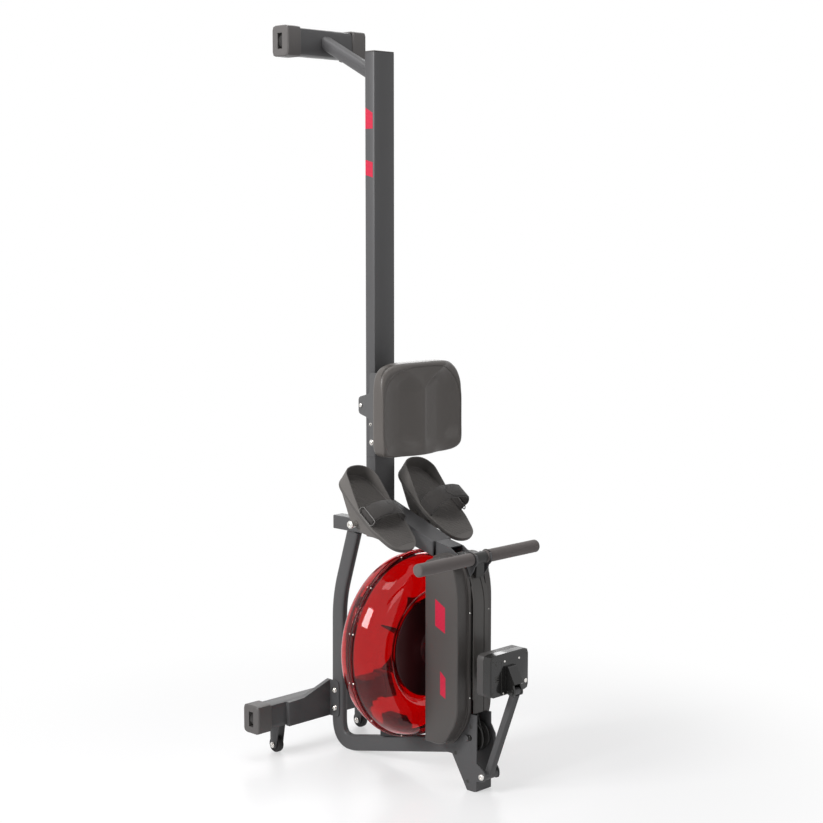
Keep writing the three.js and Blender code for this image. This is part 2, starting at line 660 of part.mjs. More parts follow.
function buildTankFront() {
  const face = tank.flange - tank.seal / 2 - gap;
  const recess = tank.flange - hub.recess;
  const line = shellLine(
    frontBulgeShares, face, tank.front - face, [[hub.disc, recess], [hub.boss + gap, recess]],
  );
  const inside = offsetLine(line, -tank.wall).reverse();
  inside[0][0] = hub.boss + gap;
  inside[inside.length - 1][1] = face;
  const [edge, lipFront] = [line[0][0], face - tank.lip];
  add(
    'tank_front',
    turnedY([[tank.radius, face], [tank.radius, lipFront], [edge, lipFront], ...line.slice(1), ...inside]),
    redTank(),
  );
}

function buildTankBack() {
  const face = tank.flange + tank.seal / 2 + gap;
  const line = shellLine(backBulgeShares, face, tank.back - face, [[shaft.radius + 2 * gap, tank.back]]);
  const inside = offsetLine(line, tank.wall).reverse().slice(1);
  inside[inside.length - 1][1] = face;
  const [edge, lipBack] = [line[0][0], face + tank.lip];
  const socket = [
    [shaft.radius + 2 * gap, tank.back - bearing.depth], [bearing.radius, tank.back - bearing.depth],
    [bearing.radius, tank.back - tank.wall],
  ];
  const profile = [
    [tank.radius, face], [tank.radius, lipBack], [edge, lipBack], ...line.slice(1), ...socket, ...inside,
  ];
  const z = tank.height + plug.rise;
  const hole = rod(
    'y', tank.back - tank.wall - overrun, tank.back + overrun, plug.x, z, plug.radius + gap, 20,
  );
  add('tank_back', cut(turnedY(profile), hole), redTank());
  const stopper = rod('y', tank.back - plug.depth, tank.back + gap + weld, plug.x, z, plug.radius, 20);
  const rim = rod('y', tank.back + gap, tank.back + plug.rimHeight, plug.x, z, plug.radius + plug.rim, 20);
  add('fill_plug', join(stopper, rim), blackPlastic());
}

function buildTankFittings() {
  const [inner, outer] = [tank.radius - tank.lip - tank.wall - 2 * overrun, tank.radius - weld];
  const [y0, y1] = [tank.flange - tank.seal / 2, tank.flange + tank.seal / 2];
  add('tank_gasket', turnedY([[inner, y0], [outer, y0], [outer, y1], [inner, y1]]), rubber());
  const { back } = bracket;
  const bore = shaft.radius + gap;
  const recess = tank.flange - hub.recess - gap;
  const profile = [
    [bore, drum.back], [tankPlate.bore, drum.back], [tankPlate.bore, back + sheet + gap],
    [hub.neck, back + sheet + gap],
    [hub.neck, back + hub.neckDepth], [hub.disc - 2 * hub.rim, recess - hub.plate],
    [hub.disc - hub.rim, recess - hub.plate / 2],
    [hub.disc - 2 * hub.rim, recess], [hub.boss, recess], [hub.boss, hub.rear], [bore, hub.rear],
  ];
  add('tank_hub', turnedY(profile), glossPlastic());
}

const paddle = {
  count: 6, hub: 22, thickness: 4, reach: 118, ahead: 28, behind: 38, tipAhead: 20, tipBehind: 32,
};
paddle.front = tank.flange - paddle.ahead;
paddle.back = tank.flange + paddle.behind;
paddle.tipFront = tank.flange - paddle.tipAhead;
paddle.tipBack = tank.flange + paddle.tipBehind;

function buildPaddle() {
  add('tank_shaft', rod('y', shaft.front, shaft.back, 0, tank.height, shaft.radius, 20), steel());
  const core = rod('y', paddle.front, paddle.back, 0, tank.height, paddle.hub, 20);
  const root = paddle.hub - paddle.thickness;
  const blades = Array.from({ length: paddle.count }, (_, i) => {
    const blade = prismY(rectangle(paddle.thickness, paddle.reach - root), paddle.tipFront, paddle.tipBack);
    const turned = blade.translate(0, 0, (paddle.reach + root) / 2).rotateY(
      (2 * Math.PI * i) / paddle.count
    );
    return turned.translate(0, 0, tank.height);
  });
  const bore = rod(
    'y', paddle.front - overrun, paddle.back + overrun, 0, tank.height, shaft.radius + gap, 20,
  );
  add('impeller', cut(join(core, ...blades), bore), blackPlastic());
}

// Rubber rest on the bottom tube, shaped to the tank's back
const rest = { half: 20, ahead: 29, behind: 54, rise: 35 };
rest.front = tank.back - rest.ahead;
rest.back = tank.back + rest.behind;
rest.top = tank.bottom + rest.rise;

function buildTankSupport() {
  const body = block(-rest.half, rest.half, rest.front, rest.back, tubeLine(rest.front), rest.top);
  const face = tank.flange + tank.seal / 2 + gap;
  const line = shellLine(
    backBulgeShares, face, tank.back - face, [[weld, tank.back]],
  ).map(([r, y]) => [r + gap, y + gap]);
  const shell = turnedY([...line, [weld, face]]);
  const section = ringOf(3 * rest.half, frameTube.depth + 2 * gap, 0);
  const path = [
    [rest.back + overrun, tubeLine(rest.back + overrun)],
    [rest.front - overrun, tubeLine(rest.front - overrun)],
  ];
  add('tank_support', cut(body, shell, sweep(path, section)), rubber());
}

// Drum: the strap winds behind, the elastic cord that pulls it back winds in front
function buildDrum() {
  const { front, back, flange, wall, cordRadius, strapRadius, split } = drum;
  const bore = shaft.radius + gap;
  add('strap_drum', turnedY([
    [bore, front], [flange, front], [flange, front + wall], [cordRadius, front + wall],
    [cordRadius, split - wall],
    [flange, split - wall], [flange, split], [strapRadius, split], [strapRadius, back - wall],
    [flange, back - wall],
    [flange, back - gap], [bore, back - gap],
  ], 20), blackPlastic());
}

function buildPulley() {
  const half = pulley.width / 2;
  const bore = pulley.pin + gap;
  const { radius, rim, groove, grooveHalf } = pulley;
  add('bungee_pulley', turnedX([
    [bore, -half], [radius, -half], [radius, rim - half], [groove, -grooveHalf], [groove, grooveHalf],
    [radius, half - rim], [radius, half], [bore, half],
  ], pulley.y, pulley.z, 24), blackPlastic());
}

// Elastic cord: from the drum down to the pulley, round its front and back into the bottom tube
const cord = { radius: 3.5, steps: 34, edges: 8 };
const cordRoute = [
  [24.4, 61, 351], [24.4, 60, 331], [12, 30, 240], [0, -12.7, 146], [0, -13.2, 138.6], [0, -12.3, 131.3],
  [0, -9.9, 125.9],
  [0, -5.5, 120.6], [0, -0.2, 116.6], [0, 6.8, 113.5], [0, 14, 112.6], [0, 48, 114.6], [0, 74, 110],
  [0, 118, 101],
];

function buildCord() {
  const curve = new THREE.CatmullRomCurve3(
    cordRoute.map((point) => new THREE.Vector3(...point)), false, 'centripetal',
  );
  const ring = Array.from({ length: cord.edges }, (_, i) => {
    const angle = (2 * Math.PI * i) / cord.edges;
    return new THREE.Vector2(Math.cos(angle), Math.sin(angle)).multiplyScalar(cord.radius);
  });
  const settings = { extrudePath: curve, steps: cord.steps, bevelEnabled: false };
  add('bungee', new THREE.ExtrudeGeometry(new THREE.Shape(ring), settings), rubber());
}

// Strap: a flat band that leaves the drum on edge and twists to the outlet roller, then to the handle
const strap = { width: 24, thickness: 1.6 };
const clamp = { half: 21, drop: 50, front: 8, tabHalf: 15, taper: 2, back: 3 };
clamp.radius = handle.grip - weld;
clamp.low = handle.z - clamp.drop;

// One cross-section: turned by an angle in plan, and tilted about X
function bandRing(x, y, z, turn, tilt) {
  const wide = new THREE.Vector3(Math.cos(turn), Math.sin(turn), 0);
  const thin = new THREE.Vector3(
    -Math.sin(turn) * Math.cos(tilt), Math.cos(turn) * Math.cos(tilt), Math.sin(tilt),
  );
  const here = new THREE.Vector3(x, y, z);
  return [[-1, -1], [1, -1], [1, 1], [-1, 1]].map(([u, v]) => here.clone()
    .addScaledVector(wide, (u * strap.width) / 2).addScaledVector(thin, (v * strap.thickness) / 2));
}

function buildStraps() {
  const leave = drum.strapRadius + strap.thickness / 2 + gap;
  const lift = outlet.radius + strap.thickness / 2 + gap;
  const start = (drum.split + drum.back) / 2 - weld;
  const steps = 8;
  const endShare = 0.72;
  const inner = Array.from({ length: steps + 1 }, (_, k) => {
    const t = k / steps;
    const ease = t * t * (3 - 2 * t);
    const y = THREE.MathUtils.lerp(start, outlet.y + lift, ease);
    const z = THREE.MathUtils.lerp(tank.height, outlet.z, t);
    return bandRing(leave * (1 - ease), y, z, (Math.PI / 2) * (1 - ease), 0);
  });
  add('strap_inner', loft(inner), webbing());
  const end = { y: handle.y + clamp.back + weld, z: handle.z - clamp.radius - 4 * clamp.back };
  const first = gap / outlet.radius;
  const last = Math.PI / 2 + Math.atan2(outlet.z - end.z, outlet.y - end.y) * endShare;
  const turns = [0, 0.2, 0.4, 0.6, 0.8, 1].map((share) => THREE.MathUtils.lerp(first, last, share));
  const over = turns.map(
    (a) => bandRing(0, outlet.y + lift * Math.cos(a), outlet.z + lift * Math.sin(a), 0, a)
  );
  add('strap_outer', loft([...over, bandRing(0, end.y, end.z, 0, last)]), webbing());
}

// Handle: a bar with the strap's clamp at its middle and a foam grip on each side
function buildHandle() {
  const grip = { cap: 8, edge: 5 };
  const reach = handle.half - grip.cap;
  const bar = rod('x', -reach, reach, handle.y, handle.z, handle.bar, 20);
  const sleeve = rod('x', -clamp.half, clamp.half, handle.y, handle.z, clamp.radius, 20);
  const { y, z } = handle;
  const shape = outline([
    [y - clamp.front, z], [y - clamp.front + clamp.taper, clamp.low],
    [y + clamp.back - clamp.taper, clamp.low], [y + clamp.back, z],
  ]);
  add('handle_bar', join(bar, sleeve, prismX(shape, -clamp.tabHalf, clamp.tabHalf)), blackPaint());
  sides.forEach(([name, side]) => {
    const [x0, x1] = [clamp.half + gap, handle.half];
    const bore = handle.bar + gap;
    const end = reach + gap;
    const profile = [
      [bore, x0], [handle.grip, x0], [handle.grip, x1 - grip.edge], [handle.grip - grip.edge, x1], [0, x1],
      [0, end], [bore, end],
    ];
    const roll = turnedX(profile.map(([r, x]) => [r, side * x]), y, z);
    add(`handle_grip_${name}`, roll, foam());
  });
}

// Casing: two open shells outside the bracket's plates, and a cover between the plates
const casing = {
  half: 75, front: -1, back: 130, drop: 4, below: 241, wall: 3, rim: 38, rimDepth: 7, round: 5,
  bevelFrom: 44, bevelSlope: 0.886, hubClear: 10, hubHole: 22,
};
casing.top = handle.z - casing.drop;
casing.bottom = tank.height - casing.below;
const casingShares = [
  [0, 0.156, 0.32], [0.435, 0, 0.22], [1, 0, 0.045], [1, 0.992, 0.045], [0.66, 1.028, 0.29],
  [0.16, 1, 0.33], [0, 0.85, 0.29],
];

function casingRing(x, inset, bevel) {
  const [width, height] = [casing.back - casing.front - 2 * inset - bevel,
    casing.top - casing.bottom - 2 * inset];
  const shape = outline(casingShares.map(([y, z, radius]) => [y * width, z * height, radius * width]));
  const [y0, z0] = [casing.front + inset + bevel, casing.bottom + inset];
  return shape.getPoints(3).slice(0, -1).map((p) => new THREE.Vector3(x, p.x + y0, p.y + z0));
}

// One side from a plane of X outward, less a wall: a low rim by the bracket, then the body. The far
// body's front is bevelled
function casingForm(side, wall, start) {
  const { rim, rimDepth, bevelFrom, bevelSlope } = casing;
  const base = rimDepth + wall;
  const [outer, round] = [casing.half - wall, casing.round - wall];
  const turns = [0, 1 / 2, 1].map((share) => (share * Math.PI) / 2);
  const corner = turns.map((a) => [outer - round * (1 - Math.sin(a)), base + round * (1 - Math.cos(a))]);
  const lean = wall * (Math.hypot(1, bevelSlope) - 1);
  const stations = [[start, wall], [rim - wall, wall], [rim - wall, base], [bevelFrom, base], ...corner];
  return loft(stations.map(([x, inset]) => {
    const bevelled = side > 0 && x > bevelFrom;
    const bevel = bevelled ? Math.max(0, bevelSlope * (x - bevelFrom) + lean - (inset - base)) : 0;
    return casingRing(side * x, inset, bevel);
  }));
}

function buildCasing() {
  const start = bracket.outer + gap;
  const hubRadius = tankPlate.bore + casing.hubClear;
  const hole = rod('y', casing.back - casing.hubHole, casing.back + overrun, 0, tank.height, hubRadius, 28);
  sides.forEach(([name, side]) => {
    const shell = cut(casingForm(side, 0, start), casingForm(side, casing.wall, start - overrun), hole);
    add(`casing_${name}`, shell, casingPlastic());
  });
}

const cover = { y: -7, rise: 96, bendDrop: 92, radius: 60, topDrop: 38, topY: 12, wall: 3 };
cover.bottom = casing.bottom + cover.rise;
cover.bendLow = casing.top - cover.bendDrop;
cover.top = casing.top - cover.topDrop;

function buildCentreCover() {
  const line = bend(
    [[cover.y, cover.bottom], [cover.y, cover.bendLow, cover.radius], [cover.topY, cover.top]]
  );
  const section = ringOf(2 * (bracket.inner - gap), cover.wall, 0);
  add('centre_cover', sweep(line, section), casingPlastic());
}

// Console: a two-part box that tilts on the end of an arm, which folds on the bracket's ears
const consolePivot = { y: -128, z: 287, pin: 4, head: 4, headRadius: 7 };
const arm = {
  size: 22, depth: 18, corner: 3, lowRadius: 11, highRadius: 9, highHalf: 11, start: 6, end: 8,
};
const display = { half: 74, back: -108, seam: -82, front: -55, bottom: 276, top: 386, corner: 14, wall: 3 };
display.middle = (display.bottom + display.top) / 2;
display.height = display.top - display.bottom;

function buildArm() {
  const [dy, dz] = [armPivot.y - consolePivot.y, consolePivot.z - armPivot.z];
  const length = Math.hypot(dy, dz);
  const tube = prismZ(rectangle(arm.size, arm.depth, arm.corner), arm.start, length - arm.end);
  const lowHalf = bracket.inner - gap;
  const low = rod('x', -lowHalf, lowHalf, 0, 0, arm.lowRadius, 20);
  const high = rod('x', -arm.highHalf, arm.highHalf, 0, length, arm.highRadius, 16);
  const lowHole = rod('x', -lowHalf - overrun, lowHalf + overrun, 0, 0, armPivot.pin + gap);
  const highHole = rod('x', -lowHalf, lowHalf, 0, length, consolePivot.pin + gap);
  const body = cut(join(tube, low, high), lowHole, highHole);
  add('console_arm', body.rotateX(Math.atan2(dy, dz)).translate(0, armPivot.y, armPivot.z), framePaint());
  const pin = pinX(
    bracket.outer + gap, armPivot.y, armPivot.z, armPivot.pin, armPivot.headRadius, armPivot.head,
  );
  add('arm_pin', pin, zinc());
}

// The clevis behind the console: a hood and two ears round the arm's upper end
function clevisParts() {
  const ear = { width: 6, top: 65, out: 8, round: 3, eye: 11, low: 9, hoodLow: 14, hoodRise: 22 };
  const { y, z } = consolePivot;
  const [face, top] = [display.back + weld, z + ear.top];
  const earShape = outline([
    [face, top], [display.back - ear.out, top, ear.round], [y - ear.eye, z, ear.out],
    [y - ear.low, z - ear.eye, ear.out],
    [y + ear.low, z - ear.low, ear.round], [face, z],
  ]);
  const hoodShape = outline([
    [face, top], [display.back - ear.out, top, ear.round], [y - ear.eye, z + ear.hoodRise],
    [y, z + ear.hoodLow],
    [face, z + ear.hoodLow],
  ]);
  const inner = arm.highHalf + gap;
  const outer = inner + ear.width;
  const ears = [-1, 1].map((side) => prismX(earShape, side * inner, side * outer));
  const pin = pinX(outer - weld, y, z, consolePivot.pin, consolePivot.headRadius, consolePivot.head);
  return [...ears, prismX(hoodShape, -outer, outer), pin];
}

function buildConsoleBack() {
  const shape = () => rectangle(2 * display.half, display.height, display.corner);
  const { back, seam, wall, corner } = display;
  const edge = 2 * wall;
  const shell = prismY(shape(), back, seam - gap, 2, wall).translate(0, 0, display.middle);
  const rim = prismY(shape(), seam - edge, seam - gap).translate(0, 0, display.middle);
  const reach = display.half - corner;
  const room = block(
    -reach, reach, back + wall, seam + overrun, display.bottom + corner, display.top - corner,
  );
  add('console_back', join(cut(join(shell, rim), room), ...clevisParts()), glossPlastic());
}

function buildConsoleFront() {
  const lens = { half: 52, below: 18, above: 40, depth: 2 };
  const key = { count: 3, pitch: 34, radius: 8, rise: 25, out: 2.5, skirt: 2, skirtDepth: 2 };
  const shape = () => rectangle(2 * display.half, display.height, display.corner);
  const { front, seam, wall, corner, middle } = display;
  const shell = prismY(shape(), seam, front, 2, 2 * wall).translate(0, 0, middle);
  const rim = prismY(shape(), seam, seam + 2 * wall).translate(0, 0, middle);
  const reach = display.half - corner;
  const room = block(
    -reach, reach, seam - overrun, front - wall, display.bottom + corner, display.top - corner,
  );
  const [low, high] = [middle - lens.below, middle + lens.above];
  const seat = block(
    -lens.half - gap, lens.half + gap, front - lens.depth, front + overrun, low - gap, high + gap,
  );
  const z = display.bottom + key.rise;
  const places = Array.from({ length: key.count }, (_, i) => (i - (key.count - 1) / 2) * key.pitch);
  const holes = places.map(
    (x) => rod('y', front - wall - overrun, front + overrun, x, z, key.radius + gap, 20)
  );
  add('console_front', cut(join(shell, rim), room, seat, ...holes), capPlastic());
  const pane = block(-lens.half, lens.half, front - lens.depth + gap, front - gap, low, high);
  add('console_lens', pane, glossPlastic());
  places.forEach((x, i) => {
    const inside = front - wall - gap;
    const cap = rod('y', inside - weld, front + key.out, x, z, key.radius, 16);
    const skirt = rod('y', inside - key.skirtDepth, inside, x, z, key.radius + key.skirt, 16);
    add(`console_button_${i + 1}`, join(cap, skirt), rubber());
  });
}

// Seat: a crowned cushion with two hollows on a pan, over a carriage that rolls on the rail
const seat = { half: 150, height: 250, bottom: 866, front: 193, base: 250, pan: 6, toCarriage: 12 };
seat.middle = seat.bottom + seat.height / 2;
const roller = { radius: 17, half: 31, pin: 5, head: 4, headExtra: 3 };
roller.y = rail.front - gap - roller.radius;
const carriage = {
  inner: 44, height: 200, back: 356, corner: 8, tabHalf: 22, tabReach: 10, tabTaper: 12,
  lowInset: 11, highInset: 23,
};
carriage.low = seat.bottom + seat.toCarriage;
carriage.high = carriage.low + carriage.height;
const rollerRows = [
  ['upper', carriage.high - carriage.highInset], ['lower', carriage.low + carriage.lowInset],
];

function buildCushion() {
  const cushion = {
    edge: 22, shoulder: 7, side: 12, hollow: 11, nose: 5, lift: 5, points: 40, power: 0.42,
    taperShare: 0.035,
  };
  const back = seat.base - seat.pan - gap;
  const hollowShares = { out: 0.45, width: 0.33, down: 0.12, length: 0.6 };
  const ridgeShares = { width: 0.16, start: 0.35 };
  const crown = (x, z) => {
    const [u, v] = [x / seat.half, z / (seat.height / 2)];
    const across = (Math.abs(u) - hollowShares.out) / hollowShares.width;
    const along = (v + hollowShares.down) / hollowShares.length;
    const hollows = Math.exp(-(across ** 2) - along ** 2);
    const ridge = Math.exp(
      -((u / ridgeShares.width) ** 2)
    ) * THREE.MathUtils.clamp(v + ridgeShares.start, 0, 1);
    return seat.front + cushion.hollow * hollows - cushion.nose * ridge + cushion.lift * v * v;
  };
  const ring = (share, yAt) => Array.from({ length: cushion.points }, (_, i) => {
    const t = (2 * Math.PI * i) / cushion.points;
    const [c, s] = [Math.cos(t), Math.sin(t)];
    const taper = 1 - cushion.taperShare * (s + 1);
    const x = Math.sign(c) * Math.abs(c) ** cushion.power * seat.half * share * taper;
    const z = Math.sign(s) * Math.abs(s) ** cushion.power * (seat.height / 2) * share;
    return new THREE.Vector3(x, yAt(x, z), seat.middle + z);
  });
  const rimShares = { flat: 0.9, bottom: 0.965, widest: 1, edge: 0.995, shoulder: 0.975 };
  const crownShares = [0.93, 0.86, 0.76, 0.64, 0.5, 0.36, 0.2];
  add('seat_cushion', loft([
    ring(rimShares.flat, () => back), ring(rimShares.bottom, () => back),
    ring(rimShares.widest, () => back - cushion.side),
    ring(rimShares.edge, () => seat.front + cushion.edge),
    ring(rimShares.shoulder, (x, z) => crown(x, z) + cushion.shoulder),
    ...crownShares.map((share) => ring(share, crown)),
  ]), skin());
}

function buildPan() {
  const panShare = 0.82;
  const corner = 30;
  const shape = rectangle(2 * seat.half * panShare, seat.height * panShare, corner);
  const pan = prismY(shape, seat.base - seat.pan, seat.base - gap, 3);
  add('seat_pan', pan.translate(0, 0, seat.middle), blackPlastic());
}

function buildCarriage() {
  const { inner, low, high, back, corner, tabHalf, tabReach, tabTaper } = carriage;
  const outer = inner + sheet;
  const tab = backRoller.y + tabReach;
  const [tabLow, tabHigh] = [backRoller.z - tabHalf, backRoller.z + tabHalf];
  const side = outline([
    [seat.base, low, corner / 2], [back, low, corner], [back, tabLow - tabTaper, corner],
    [tab, tabLow, corner],
    [tab, tabHigh, corner], [back, tabHigh + tabTaper, corner], [back, high, corner],
    [seat.base, high, corner / 2],
  ]);
  const room = block(-inner, inner, seat.base + sheet, tab + overrun, low - overrun, high + overrun);
  const through = outer + overrun;
  const holes = rollerRows.map(([, z]) => rod('x', -through, through, roller.y, z, roller.pin + gap));
  const backHole = rod('x', -through, through, backRoller.y, backRoller.z, backRoller.pin + gap);
  add('seat_carriage', cut(prismX(side, -outer, outer), room, ...holes, backHole), blackPaint());
}

function buildRollers() {
  const reach = carriage.inner + sheet + gap;
  const rollerOn = (y, z, radius, pin) => join(
    rod('x', -roller.half, roller.half, y, z, radius, 20),
    pinX(reach, y, z, pin, pin + roller.headExtra, roller.head),
  );
  rollerRows.forEach(
    ([name, z]) => add(`seat_roller_${name}`, rollerOn(roller.y, z, roller.radius, roller.pin), zinc())
  );
  add('seat_roller_back', rollerOn(backRoller.y, backRoller.z, backRoller.radius, backRoller.pin), zinc());
}

// Foot plates: a tapering sole with a heel cup over a keel that turns on the axle, and a strap
const foot = { length: 283, width: 134, x: 112, slope: 37.5, axleAt: 149, axleDepth: 43.6, sole: 12 };
const footStrap = { width: 50, at: 122, thickness: 2.4, slot: 3.4, inset: 8 };
const strapCrest = { near: 36, far: 58 };
const soleShares = [
  [-0.49, 0.3, 0.18], [-0.3, 0, 0.45], [0.3, 0, 0.45], [0.49, 0.3, 0.18],
  [0.48, 0.6, 0.3], [0.37, 1, 0.37], [-0.37, 1, 0.37], [-0.48, 0.6, 0.3],
];

function soleOutline(inset) {
  const [width, length] = [foot.width - 2 * inset, foot.length - 2 * inset];
  return outline(soleShares.map(([u, v, radius]) => [u * width, v * length + inset, radius * width]));
}

// From a foot plate's own frame (across, along the sole, out of the sole) to the machine's
function footFrame(side) {
  const slope = THREE.MathUtils.degToRad(foot.slope);
  const along = new THREE.Vector3(0, Math.cos(slope), Math.sin(slope));
  const out = new THREE.Vector3(0, -Math.sin(slope), Math.cos(slope));
  const toe = new THREE.Vector3(side * foot.x, footAxle.y, footAxle.z)
    .addScaledVector(along, -foot.axleAt).addScaledVector(out, foot.axleDepth);
  return new THREE.Matrix4().makeBasis(new THREE.Vector3(1, 0, 0), along, out).setPosition(toe);
}

const cup = { height: 36, wall: 3.5, start: 140, full: 238, lip: 3, inset: 0.6 };
const keel = {
  front: 40, rise: 128, fall: 170, back: 262, depth: 13, half: 50, round: 30, bevel: 5, root: 6,
};

function buildFootPlate(name, side) {
  const { sole, length, width } = foot;
  const base = prism(soleOutline(0), sole, 3, weld).translate(0, 0, -sole);
  const wall = prism(
    withHole(soleOutline(cup.inset), soleOutline(cup.inset + cup.wall), 3), cup.height + weld, 3,
  );
  const [past, above] = [length + overrun, 2 * cup.height];
  const over = prismX(outline([
    [-overrun, -2 * weld], [cup.start, -2 * weld], [cup.start, 0], [cup.full, cup.height - cup.lip],
    [past, cup.height], [past, above], [-overrun, above],
  ]), -width, width);
  const deep = -foot.axleDepth - keel.depth;
  const hull = prismX(outline([
    [keel.front, -keel.root], [keel.rise, deep, keel.round], [keel.fall, deep, keel.round],
    [keel.back, -keel.root],
  ]), -keel.half, keel.half, 2, keel.bevel);
  const bore = rod('x', -width, width, foot.axleAt, -foot.axleDepth, footAxle.radius + gap, 24);
  const slotDepth = sole + 2 * foot.axleDepth;
  const slots = [-1, 1].map((edge) => {
    const slot = prism(rectangle(footStrap.slot, footStrap.width + 2 * footStrap.thickness), slotDepth);
    return slot.translate(edge * (width / 2 - footStrap.inset), footStrap.at, -slotDepth / 2);
  });
  const body = cut(join(base, cut(wall.translate(0, 0, -weld), over), hull), bore, ...slots);
  add(`foot_plate_${name}`, body.applyMatrix4(footFrame(side)), blackPlastic());
}

function buildFootStrap(name, side) {
  const archShares = [
    [-1, -0.4], [-1, 0.1], [-0.93, 0.55], [-0.5, 0.93], [0, 1], [0.5, 0.93], [0.93, 0.55], [1, 0.1],
    [1, -0.4],
  ];
  const reach = foot.width / 2 - footStrap.inset;
  const points = archShares.map(([x, rise]) => new THREE.Vector3(x * reach, rise * strapCrest[name], 0));
  const line = new THREE.CatmullRomCurve3(
    points, false, 'centripetal',
  ).getPoints(18).map((p) => [p.x, p.y]);
  const half = footStrap.thickness / 2;
  const band = [...offsetLine(line, half), ...offsetLine(line, -half).reverse()];
  const shape = new THREE.Shape(band.map(([x, z]) => new THREE.Vector2(x, z)));
  const strapBody = prismY(shape, footStrap.at - footStrap.width / 2, footStrap.at + footStrap.width / 2);
  add(`foot_strap_${name}`, strapBody.applyMatrix4(footFrame(side)), webbing());
}

function buildFeet() {
  sides.forEach(([name, side]) => {
    buildFootPlate(name, side);
    buildFootStrap(name, side);
  });
  const reach = foot.x + foot.width / 2 + sheet;
  add(
    'foot_axle', pinX(reach, footAxle.y, footAxle.z, footAxle.radius, footAxle.headRadius, footAxle.head),
    zinc(),
  );
}

buildBeam();
buildRailCap();
buildRearStabiliser();
buildRearLeg();
buildStops();
buildFrontStabiliser();
buildFrameTube();
buildNeck();
buildOutletRoller();
buildBracket();
buildTankFront();
buildTankBack();
buildTankFittings();
buildPaddle();
buildTankSupport();
buildDrum();
buildPulley();
buildCord();
buildStraps();
buildHandle();
buildCasing();
buildCentreCover();
buildArm();
buildConsoleBack();
buildConsoleFront();
buildCushion();
buildPan();
buildCarriage();
buildRollers();
buildFeet();

export default machine;
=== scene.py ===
import json
import math

import bmesh
import bpy
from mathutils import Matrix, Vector

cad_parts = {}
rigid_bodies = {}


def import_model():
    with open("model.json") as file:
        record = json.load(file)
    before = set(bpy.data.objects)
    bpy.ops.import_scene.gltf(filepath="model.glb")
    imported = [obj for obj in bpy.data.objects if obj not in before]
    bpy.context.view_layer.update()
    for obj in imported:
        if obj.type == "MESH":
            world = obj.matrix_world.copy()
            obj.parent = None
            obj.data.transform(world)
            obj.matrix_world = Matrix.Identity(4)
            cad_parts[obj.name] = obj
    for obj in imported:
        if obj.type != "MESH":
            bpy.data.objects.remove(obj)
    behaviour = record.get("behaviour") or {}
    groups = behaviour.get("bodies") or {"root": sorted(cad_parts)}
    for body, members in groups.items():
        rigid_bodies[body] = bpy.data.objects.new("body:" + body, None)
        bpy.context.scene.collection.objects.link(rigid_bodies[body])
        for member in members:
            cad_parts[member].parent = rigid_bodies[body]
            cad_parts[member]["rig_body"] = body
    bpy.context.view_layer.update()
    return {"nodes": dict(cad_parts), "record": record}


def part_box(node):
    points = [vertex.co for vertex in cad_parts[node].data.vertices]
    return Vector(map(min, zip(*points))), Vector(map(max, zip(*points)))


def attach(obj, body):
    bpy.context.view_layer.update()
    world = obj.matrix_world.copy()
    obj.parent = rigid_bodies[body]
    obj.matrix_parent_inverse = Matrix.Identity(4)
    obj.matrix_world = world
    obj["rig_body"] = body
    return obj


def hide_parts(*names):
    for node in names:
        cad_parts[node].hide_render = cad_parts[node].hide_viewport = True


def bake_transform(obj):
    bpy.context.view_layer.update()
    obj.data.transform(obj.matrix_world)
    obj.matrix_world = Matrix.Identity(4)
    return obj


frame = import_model()

# Camera: stands a little above the seat, about four and a half metres off the machine's near front
# corner, and looks slightly down. A long lens keeps the upright rail straight.
camera_down, camera_turn = math.radians(6.61), math.radians(-45.8)


def placed(name, data):
    """An object that shows the data, in the scene."""
    made = bpy.data.objects.new(name, data)
    bpy.context.scene.collection.objects.link(made)
    return made


camera = placed("camera", bpy.data.cameras.new("camera"))
camera.location = (-3.231, -2.898, 1.500)
camera.rotation_euler = (math.pi / 2 - camera_down, 0, camera_turn)
camera.data.sensor_width = 36
camera.data.lens = 74.54
camera.data.clip_end = 60
bpy.context.scene.camera = camera

# Studio: a pale seamless floor that runs into a white surround, under soft panels. The panel on the
# machine's near side is the strong one, so that its console side falls into a quieter grey.
floor_half, floor_drop, floor_white_from, floor_white_to = 9.0, 0.0006, 0.55, 1.5
floor_mesh = bpy.data.meshes.new("floor")
floor_corners = ((-1, -1), (1, -1), (1, 1), (-1, 1))
floor_mesh.from_pydata([(x * floor_half, y * floor_half, 0) for x, y in floor_corners], [], [(0, 1, 2, 3)])
floor = placed("floor", floor_mesh)
floor.location.z = -floor_drop


def wired(tree, made, inputs):
    """Sets each named input of a shader node to a value, or links it to another node's output."""
    for label, value in inputs.items():
        if isinstance(value, bpy.types.NodeSocket):
            tree.links.new(value, made.inputs[label])
        else:
            made.inputs[label].default_value = value
    return made


def new_node(tree, kind, inputs=None, **settings):
    made = tree.nodes.new("ShaderNode" + kind)
    for name, value in settings.items():
        setattr(made, name, value)
    return wired(tree, made, inputs or {})


def seen_directly(tree):
    """1 for rays from the camera and for those that mirror or pass through something."""
    path = new_node(tree, "LightPath").outputs
    total = path["Is Camera Ray"]
    for kind in ("Is Glossy Ray", "Is Transmission Ray"):
        total = new_node(tree, "Math", {0: total, 1: path[kind]}, operation="MAXIMUM").outputs[0]
    return total


